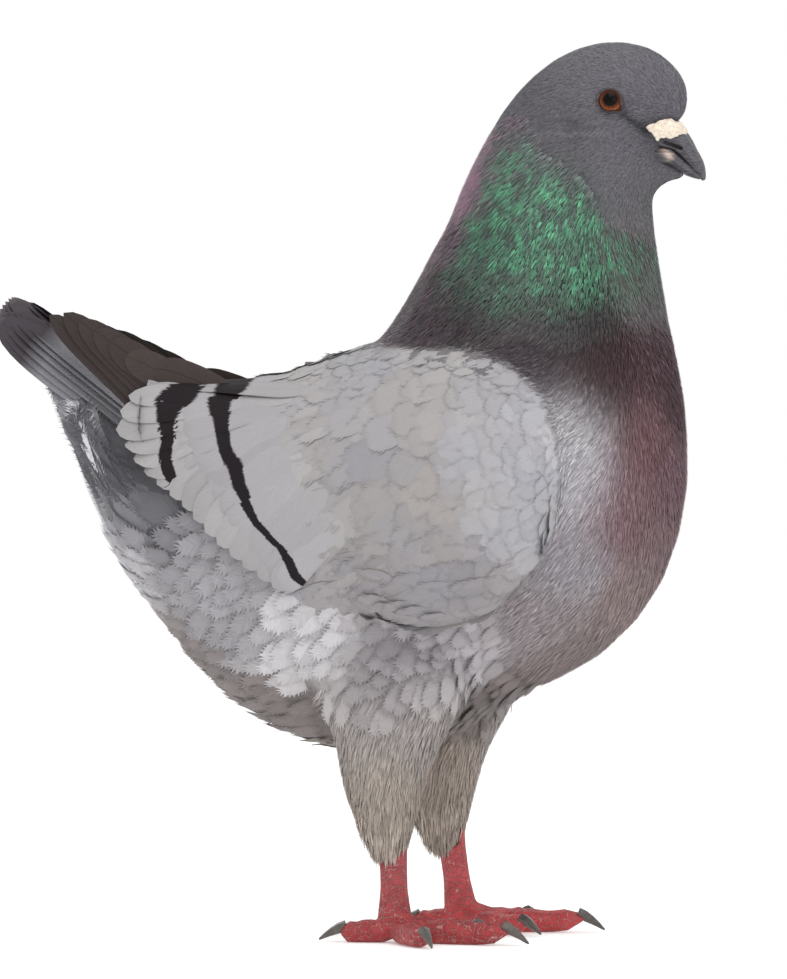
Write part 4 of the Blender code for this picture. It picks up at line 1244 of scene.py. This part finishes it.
for side, sign in (("right", -1), ("left", 1)):
    mine = (skin_points[:, 1] * sign > 0) & (ahead_of_bar > bare_strip)
    coverts = bed(
        f"wing_coverts_{side}", "wing", covert_gap, lambda r: 18.5 * covert_size(r),
        lambda r: 6.2 * covert_size(r), (-0.15, 0.22), 71 + sign, shape=covert, arch=0.03,
        brighten=0.025, stray=0.1, keep=mine, steps=4, crowd=9, paint_with=mottled)
    greater = row_of_feathers(
        f"greater_coverts_{side}",
        ((-52, 183, 0, 36, 4.2), (-51, 178, 4, 36, 6), (-47, 168, 16, 34, 6.5), (-42, 158, 26, 34, 6.2),
         (-36, 148, 34, 32, 6), (-28, 137, 40, 30, 5.8), (-19, 127, 44, 28, 5.5), (-10, 117, 46, 26, 5.2)),
        16, sign, (0.2, 0.9, 0), (174, 172, 175), 81 + sign)
    secondaries = row_of_feathers(
        f"secondaries_{side}",
        ((-64, 183, -4, 60, 4.2), (-71, 178, 2, 60, 6.5), (-72, 168, 10, 58, 7), (-67, 160, 20, 56, 6.8),
         (-58, 152, 28, 54, 6.5), (-46, 143, 34, 50, 6.5), (-36, 133, 38, 46, 6.2), (-24, 124, 40, 40, 6),
         (-13, 117, 38, 36, 5.5)),
        17, sign, (0.1, 0.8, -0.2), (178, 175, 176), 91 + sign)
    for name in ("front_bar", "rear_bar"):  # the small coverts lie clear of both bars
        clear = coverts.data.attributes.new(name, "FLOAT", "POINT")
        clear.data.foreach_set("value", np.full(len(coverts.data.vertices), CLEAR_OF_BAR, np.float32))
    for piece in (coverts, greater, secondaries):
        piece.data.materials.append(pale)

# The primaries cross behind the pale wing tip: long, stiff and dark brown. Each row gives the feather's
# root, the middle of its bend and its tip as (x, z), its half width and how far out it lies, in mm.
PRIMARIES = (((-40, 152), (-67, 181), (-101.5, 207.5), 5.0, 0.0),
             ((-44, 158), (-66, 184), (-96, 208), 5.5, 0.5),
             ((-44, 162), (-64, 186), (-90, 205.5), 5.5, 1.0),
             ((-44, 166), (-62, 187), (-84, 202), 5.5, 1.5),
             ((-44, 169), (-60, 188), (-78, 198), 5.5, 2.0),
             ((-42, 172), (-56, 188), (-72, 193), 5.5, 2.5),
             ((-34, 177), (-48, 187), (-62, 189), 5.5, 2.9))
PRIMARY_BROWN = (52, 44, 42)
LEFT_WING_DROP = 3 * MM  # the left wing's tip lies a little lower
SPOTS = np.arange(9)  # places along each long feather's line
MIDDLE_SPOT, LAST_SPOT = 4, 8


def bend(start, middle, end):
    """Places along a curve that leaves start towards middle and arrives at end."""
    t = np.linspace(0, 1, len(SPOTS))[:, None]
    start, middle, end = (np.array(p, float) for p in (start, middle, end))
    return (1 - t) ** 2 * start + 2 * t * (1 - t) * middle + t * t * end


dark_vane = plumage("dark_plumage", 0.6, ridge=0.15 * MM, barbs=70.0, streak=0.2, variety=0.25,
                    shaft=-0.25, edge=0.12, root=0.0)
for side, sign in (("right", -1), ("left", 1)):
    solid = surface_of(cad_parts[f"primaries_{side}"])
    lines, ups = [], []
    for start, middle, end, _, out in PRIMARIES:
        line = np.zeros((len(SPOTS), 3))
        line[:, [0, 2]] = bend(start, middle, end) * MM
        line[:, 2] -= (sign > 0) * LEFT_WING_DROP * np.linspace(0.4, 1, len(SPOTS))
        for k in SPOTS:
            hit = solid.find_nearest(Vector((line[k, 0], sign * 24 * MM, line[k, 2])))
            line[k, 1] = hit[0].y - sign * (2.6 - out) * MM
        at_middle, at_tip = line[MIDDLE_SPOT, 1], line[LAST_SPOT, 1]
        at_root = at_middle + sign * 3 * MM
        line[:, 1] = np.interp(SPOTS, (0, MIDDLE_SPOT, LAST_SPOT), (at_root, at_middle, at_tip))
        lines.append(line)
        facing = np.array((-0.15, sign * 0.9, 0.35))  # outward, and a little up and back
        ups.append(np.tile(facing, (len(SPOTS), 1)))
    count = len(PRIMARIES)
    tint = np.tile(from_screen(PRIMARY_BROWN), (count, 1)) * np.linspace(0.85, 1.25, count)[:, None]
    wide, flush = np.array([row[3] for row in PRIMARIES]) * MM, np.zeros(count)
    primaries = coat(f"primaries_{side}_vanes", long_feather, np.array(lines), np.array(ups), wide,
                     (flush, flush), 0.12, tint, None, 111 + sign)
    primaries.data.materials.append(dark_vane)
    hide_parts(f"primaries_{side}")

# ---------------------------------------------------------------- tail
# Twelve long tail feathers, folded into a narrow fan that is raised and rolled to one side. They are
# blue grey with a broad dark band before the tip, and painted light makes them paler at the root, by the
# wing.
TAIL_ROOT_PAINTED_LIGHT = from_screen((158, 158, 163))
TAIL_GREY = from_screen((124, 124, 129))
TAIL_BAND = from_screen((62, 57, 62))
TAIL_TIP = from_screen((92, 88, 92))
GREY_FROM, BAND_FROM, TIP_FROM = (0.3, 0.3), (0.76, 0.06), (0.97, 0.03)  # (start, span) along a feather
TAIL_BASE, TAIL_RISE, TAIL_ROLL = (-42, 0, 152), 38, 20
TAIL_COUNT, TAIL_LENGTH, TAIL_SPREAD, TAIL_HALF_WIDTH = 12, 99, 11.5, 8.5
tail_place = (Matrix.Translation(Vector(TAIL_BASE) * MM) @ Matrix.Rotation(math.radians(TAIL_RISE), 4, "Y")
              @ Matrix.Rotation(math.radians(TAIL_ROLL), 4, "X"))
tail_turn = np.array(tail_place.to_3x3())
lines, ups = [], []
for k in range(TAIL_COUNT):
    share = 2 * k / (TAIL_COUNT - 1) - 1
    length = TAIL_LENGTH - 3 * share ** 2
    away = np.linspace(0, 1, len(SPOTS))
    high = 1.2 - 2.0 * abs(share) - 1.5 * share ** 2 * away  # the outer feathers lie under the inner ones
    local = np.stack((-length * away, share * TAIL_SPREAD * (0.35 + 0.65 * away), high), 1) * MM
    lines.append(local @ tail_turn.T + np.array(tail_place.translation))
    lean = np.array((0, 1.1 * share * abs(share), 1.0))
    ups.append(np.tile(tail_turn @ (lean / np.linalg.norm(lean)), (len(SPOTS), 1)))


def banded(place, count, spots):
    """Blue grey along the feather, lifted by painted light near the root, with a dark band near the end and a
    slightly paler tip.
    """
    along = np.tile(spots[:, 1], count)[:, None]
    fade = comes_on(along, *GREY_FROM)
    band = comes_on(along, *BAND_FROM)
    tip = comes_on(along, *TIP_FROM)
    colour = (TAIL_ROOT_PAINTED_LIGHT * (1 - fade) + TAIL_GREY * fade) * (1 - band) + TAIL_BAND * band
    return colour * (1 - tip) + TAIL_TIP * tip


wide, flush = np.full(TAIL_COUNT, TAIL_HALF_WIDTH * MM), np.zeros(TAIL_COUNT)
tail_feathers = coat("tail_feathers", long_feather, np.array(lines), np.array(ups), wide, (flush, flush),
                     0.05, banded, None, 121)
tail_vane = plumage("tail_plumage", 0.65, ridge=0.15 * MM, barbs=90.0, streak=0.14, variety=0.1,
                    shaft=-0.06, edge=0.0, root=0.0)
tail_feathers.data.materials.append(tail_vane)
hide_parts("tail")

# ---------------------------------------------------------------- eyes
# Each eye is one glossy ball with a bulging front, as a taxidermist's glass eye. A wide black pupil and
# a red brown iris are coloured on it, a little ahead of its middle and above it.
EYE_TILT = math.radians(10)
PUPIL, IRIS, PUPIL_SHIFT = 2.15 * MM, 3.8 * MM, 0.55 * MM
BALL_SHARE, BULGE, BULGE_FROM = 0.985, 0.03, 0.75  # shares of the eye's radius, and of facing outward


def shaped(name, move):
    """Applies the primitive's place, then moves all of its points with a function, and smooths it."""
    thing = bpy.context.object
    thing.name = name
    bpy.ops.object.transform_apply(location=True, rotation=True, scale=True)
    set_corners(thing.data, move(corners(thing.data)))
    bpy.ops.object.shade_smooth()
    return thing


def joined(name, things):
    """Several pieces as one."""
    bpy.ops.object.select_all(action="DESELECT")
    for thing in things:
        thing.select_set(True)
    bpy.context.view_layer.objects.active = things[0]
    bpy.ops.object.join()
    things[0].name = name
    return things[0]


eye_material, tree, shader = material("eye_glass", 0.06, 0.1)
where = add(tree, "SeparateXYZ", object_places(tree)).outputs
off_x = sum_of(tree, "SUBTRACT", where[0], EYE.x + PUPIL_SHIFT)
off_z = sum_of(tree, "SUBTRACT", where[2], EYE.z + PUPIL_SHIFT)
reach = sum_of(tree, "POWER", sum_of(tree, "ADD", sum_of(tree, "POWER", off_x, 2.0),
                                     sum_of(tree, "POWER", off_z, 2.0)), 0.5)
spoke = sum_of(tree, "ARCTAN2", off_z, off_x)
spokes = noise_at(tree, add(tree, "CombineXYZ", sum_of(tree, "MULTIPLY", spoke, 9.0),
                            sum_of(tree, "MULTIPLY", reach, 900.0), 0.0).outputs[0], 1.0, 3, 0.6)
iris = add(tree, "ValToRGB", ramp(tree, reach, PUPIL, IRIS, smooth=False))
stops = iris.color_ramp.elements
stops[0].color = (0.002, 0.001, 0.001, 1)
stops[-1].color = (0.05, 0.018, 0.01, 1)
for place, colour in ((0.12, (0.05, 0.012, 0.006)), (0.5, (0.13, 0.032, 0.01)), (0.82, (0.24, 0.075, 0.022))):
    stops.new(place).color = (*colour, 1)
# Painted light: the iris is brighter towards its lower half, as light falls through the front of the eye.
lit_low = ramp(tree, off_z, -IRIS, 0.0, 1.1, 0.7)
iris_spokes_and_painted_light = sum_of(tree, "MULTIPLY", ramp(tree, spokes, 0.3, 0.7, 0.6, 1.4), lit_low)
feed(tree, shader["Base Color"], scaled(tree, iris.outputs["Color"], iris_spokes_and_painted_light))

eyes = []
for sign in (-1, 1):
    bpy.ops.object.select_all(action="DESELECT")
    bpy.ops.mesh.primitive_uv_sphere_add(segments=48, ring_count=32, radius=EYE_RADIUS,
                                         location=(EYE.x, sign * abs(EYE.y), EYE.z),
                                         rotation=(math.radians(90), 0, -sign * EYE_TILT))

    def bulge(points):
        centre = np.array((EYE.x, sign * abs(EYE.y), EYE.z))
        off = (points - centre) / EYE_RADIUS
        facing = np.clip(off @ np.array((math.sin(EYE_TILT), sign * math.cos(EYE_TILT), 0)), 0, 1)
        reach = BALL_SHARE + BULGE * comes_on(facing, BULGE_FROM, 1 - BULGE_FROM)
        return centre + off * EYE_RADIUS * reach[:, None]

    ball = shaped(f"eye_{sign}", bulge)
    ball.data.materials.append(eye_material)
    eyes.append(ball)
eyes = joined("eyes", eyes)
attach(eyes, "root")
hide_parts("eye_right", "eye_left")

# The lids: a thin reddish rim hugs each eye and is drawn to a point at its lower front, with a fold of
# slate grey skin outside it.
lid_skin, tree, shader = material("lid_skin", 0.7, 0.2)
fold_noise = noise_at(tree, object_places(tree), 2200, 4)
fold_tint = add(tree, "Attribute", attribute_name="tint").outputs["Color"]
feed(tree, shader["Base Color"], scaled(tree, fold_tint, ramp(tree, fold_noise, 0.3, 0.7, 0.75, 1.25)))
bump(tree, shader, fold_noise, 0.2 * MM)
# Each is (radius, thickness, height over the ball, share of its depth that is kept, colour).
LIDS = ((3.55, 0.15, 0.15, 0.9, (66, 34, 25)), (4.2, 0.6, -0.35, 0.6, (64, 61, 66)))
# In mm: how far a lid is drawn out at its point and at its rear corner, and drawn in all round.
POINT_OUT, CORNER_OUT, DRAWN_IN = 1.3, 0.3, 0.15
lids = []
for sign in (-1, 1):
    for radius, thick, stand, depth, colour in LIDS:
        bpy.ops.object.select_all(action="DESELECT")
        bpy.ops.mesh.primitive_torus_add(major_segments=64, minor_segments=12, major_radius=radius * MM,
                                         minor_radius=thick * MM, location=(APERTURE[0], 0, APERTURE[1]),
                                         rotation=(math.radians(90), 0, 0))

        def almond(points):
            off = points[:, [0, 2]] - APERTURE
            turn = np.arctan2(off[:, 1], off[:, 0])
            front = POINT_OUT * fading(turn - LOWER_FRONT, 0.3)
            back = CORNER_OUT * fading(np.abs(turn) - 3.1, 0.4)
            grow = 1 + (front + back - DRAWN_IN) / radius
            off = off * grow[:, None] + APERTURE - (EYE.x, EYE.z)
            reach = np.minimum(np.linalg.norm(off, axis=1), EYE_RADIUS * 0.97)
            ball = np.sqrt(EYE_RADIUS ** 2 - reach ** 2)
            out = abs(EYE.y) + ball + stand * MM + points[:, 1] * depth
            return np.stack((EYE.x + off[:, 0], sign * out, EYE.z + off[:, 1]), 1)

        lid = shaped(f"lid_{sign}_{radius}", almond)
        if sign > 0:
            bpy.ops.object.mode_set(mode="EDIT")
            bpy.ops.mesh.select_all(action="SELECT")
            bpy.ops.mesh.normals_make_consistent(inside=False)
            bpy.ops.object.mode_set(mode="OBJECT")
        paint(lid.data, "tint", np.tile(from_screen(colour), (len(lid.data.vertices), 1)))
        lid.data.materials.append(lid_skin)
        lids.append(lid)
lids = joined("eyelids", lids)
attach(lids, "root")

# ---------------------------------------------------------------- bill and cere
# A short dark horn bill, hooked at the tip, with a slit nostril under each side of the white cere and a
# pale fleshy corner to the mouth. Lines on it are given by their ends as (x, z) in metres.
NOSTRIL = (0.1068, 0.2631), (0.1124, 0.2610)
MOUTH_CORNER = (0.1058, 0.2620), (0.1088, 0.2580)
LOWER_TIP = 0.1135  # where the lower bill's tip starts, which is drawn forward
HORN_GRAIN = 0.3 * MM
horn, tree, shader = material("bill_horn", 0.42, 0.45)
where = object_places(tree)
stretch = add(tree, "Mapping", where)
stretch.inputs["Rotation"].default_value = (0, math.radians(-40), 0)
stretch.inputs["Scale"].default_value = (300, 1200, 1600)
grain = noise_at(tree, stretch.outputs[0], 1.0, 4, 0.6)
horn_tint = add(tree, "Attribute", attribute_name="tint").outputs["Color"]
feed(tree, shader["Base Color"], scaled(tree, horn_tint, ramp(tree, grain, 0.3, 0.7, 0.6, 1.5)))
bump(tree, shader, grain, 0.12 * MM)

upper = fused("upper_bill_horn", ["upper_bill"], HORN_GRAIN, 0.3 * MM, 3)
lower = fused("lower_bill_horn", ["lower_bill"], HORN_GRAIN, 0.55 * MM, 3)
HORN = from_screen((72, 70, 75))
SLIT_SHADE = from_screen((20, 16, 17))
GAPE = from_screen((188, 168, 158))
for piece, node in ((upper, "upper_bill"), (lower, "lower_bill")):  # their roots run back into the face
    rear_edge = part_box(node)[0].x + 4 * MM
    places_on = corners(piece.data)
    places_on[:, 0] -= 2.0 * np.clip(rear_edge - places_on[:, 0], 0, 1)
    set_corners(piece.data, places_on)

places_on = corners(upper.data)
in_slit = fading(off_line(places_on, *NOSTRIL), 0.5 * MM)
places_on[:, 1] -= np.sign(places_on[:, 1]) * np.minimum(1.1 * MM * in_slit, np.abs(places_on[:, 1]))
set_corners(upper.data, places_on)
# The nostril slit is painted near black: painted shade in its recess under the cere.
paint(upper.data, "tint", HORN + (SLIT_SHADE - HORN) * np.clip(in_slit * 1.3, 0, 1)[:, None])
places_on = corners(lower.data)
fleshy = fading(off_line(places_on, *MOUTH_CORNER), 1.3 * MM)
tip = comes_on(places_on[:, 0], LOWER_TIP, 4 * MM)
places_on[:, 2] += 0.3 * MM - 0.75 * MM * tip
places_on[:, 0] += 1.3 * MM * tip
places_on[:, 1] *= 0.95
set_corners(lower.data, places_on)
paint(lower.data, "tint", HORN + (GAPE - HORN) * fleshy[:, None])
for piece, node in ((upper, "upper_bill"), (lower, "lower_bill")):
    piece.data.materials.append(horn)
    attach(piece, "root")
    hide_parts(node)

# The cere is white and chalky: two lumpy swellings, parted by a groove along the middle.
chalk, tree, shader = material("cere_chalk", 0.85, 0.2)
pits = noise_at(tree, object_places(tree), 900, 5, 0.65)
chalk_tint = add(tree, "ValToRGB", pits)
chalk_tint.color_ramp.elements[0].position = 0.3
chalk_tint.color_ramp.elements[0].color = (*from_screen((196, 180, 162)), 1)
chalk_tint.color_ramp.elements[1].position = 0.6
chalk_tint.color_ramp.elements[1].color = (*from_screen((230, 220, 204)), 1)
feed(tree, shader["Base Color"], chalk_tint.outputs["Color"])
bump(tree, shader, pits, 0.3 * MM)
cere = fused("cere_skin", ["cere"], HORN_GRAIN, 0.5 * MM, 5)
places_on = corners(cere.data)
REAR_WIDER, REAR_BACK = 0.1, 0.8 * MM
LOW_WIDER, LOW_DOWN = 0.35, 1.3 * MM
rear = comes_on(places_on[:, 0], cere_low.x + 7 * MM, -8 * MM)
low = comes_on(places_on[:, 2], cere_low.z + 3 * MM, -3 * MM)
places_on[:, 1] *= 1 + REAR_WIDER * rear + LOW_WIDER * low
places_on[:, 0] -= REAR_BACK * rear
places_on[:, 2] -= LOW_DOWN * low
lumps = np.array([noise.noise(Vector(place) * 480) for place in places_on])
LUMP_HEIGHT, GROOVE_DEPTH, GROOVE_REACH = 0.35 * MM, 0.8 * MM, 0.9 * MM
places_on += corner_normals(cere.data) * (LUMP_HEIGHT * lumps)[:, None]
groove = GROOVE_DEPTH * fading(places_on[:, 1], GROOVE_REACH)
places_on -= corner_normals(cere.data) * groove[:, None]
set_corners(cere.data, places_on)
cere.data.materials.append(chalk)
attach(cere, "root")
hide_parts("cere")

# ---------------------------------------------------------------- claws
# Black horn sickles, one on each toe, worn grey in patches. Each is its solid, fused at a fine grain and
# rounded, and stays in its place at the toe's end.
claw_horn, tree, shader = material("claw_horn", 0.35, 0.5)
grain = noise_at(tree, object_places(tree), 900, 4)
claw_tint = add(tree, "ValToRGB", grain)
claw_tint.color_ramp.elements[0].color = (*from_screen((38, 36, 38)), 1)
claw_tint.color_ramp.elements[1].color = (*from_screen((104, 96, 88)), 1)
feed(tree, shader["Base Color"], claw_tint.outputs["Color"])
bump(tree, shader, grain, 0.1 * MM)
for side in ("right", "left"):
    for toe in ("hind", "inner", "middle", "outer"):
        node = f"claw_{toe}_{side}"
        claw = fused(f"{node}_horn", [node], HORN_GRAIN, 0.15 * MM, 3)
        claw.data.materials.append(claw_horn)
        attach(claw, "root")
        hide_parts(node)
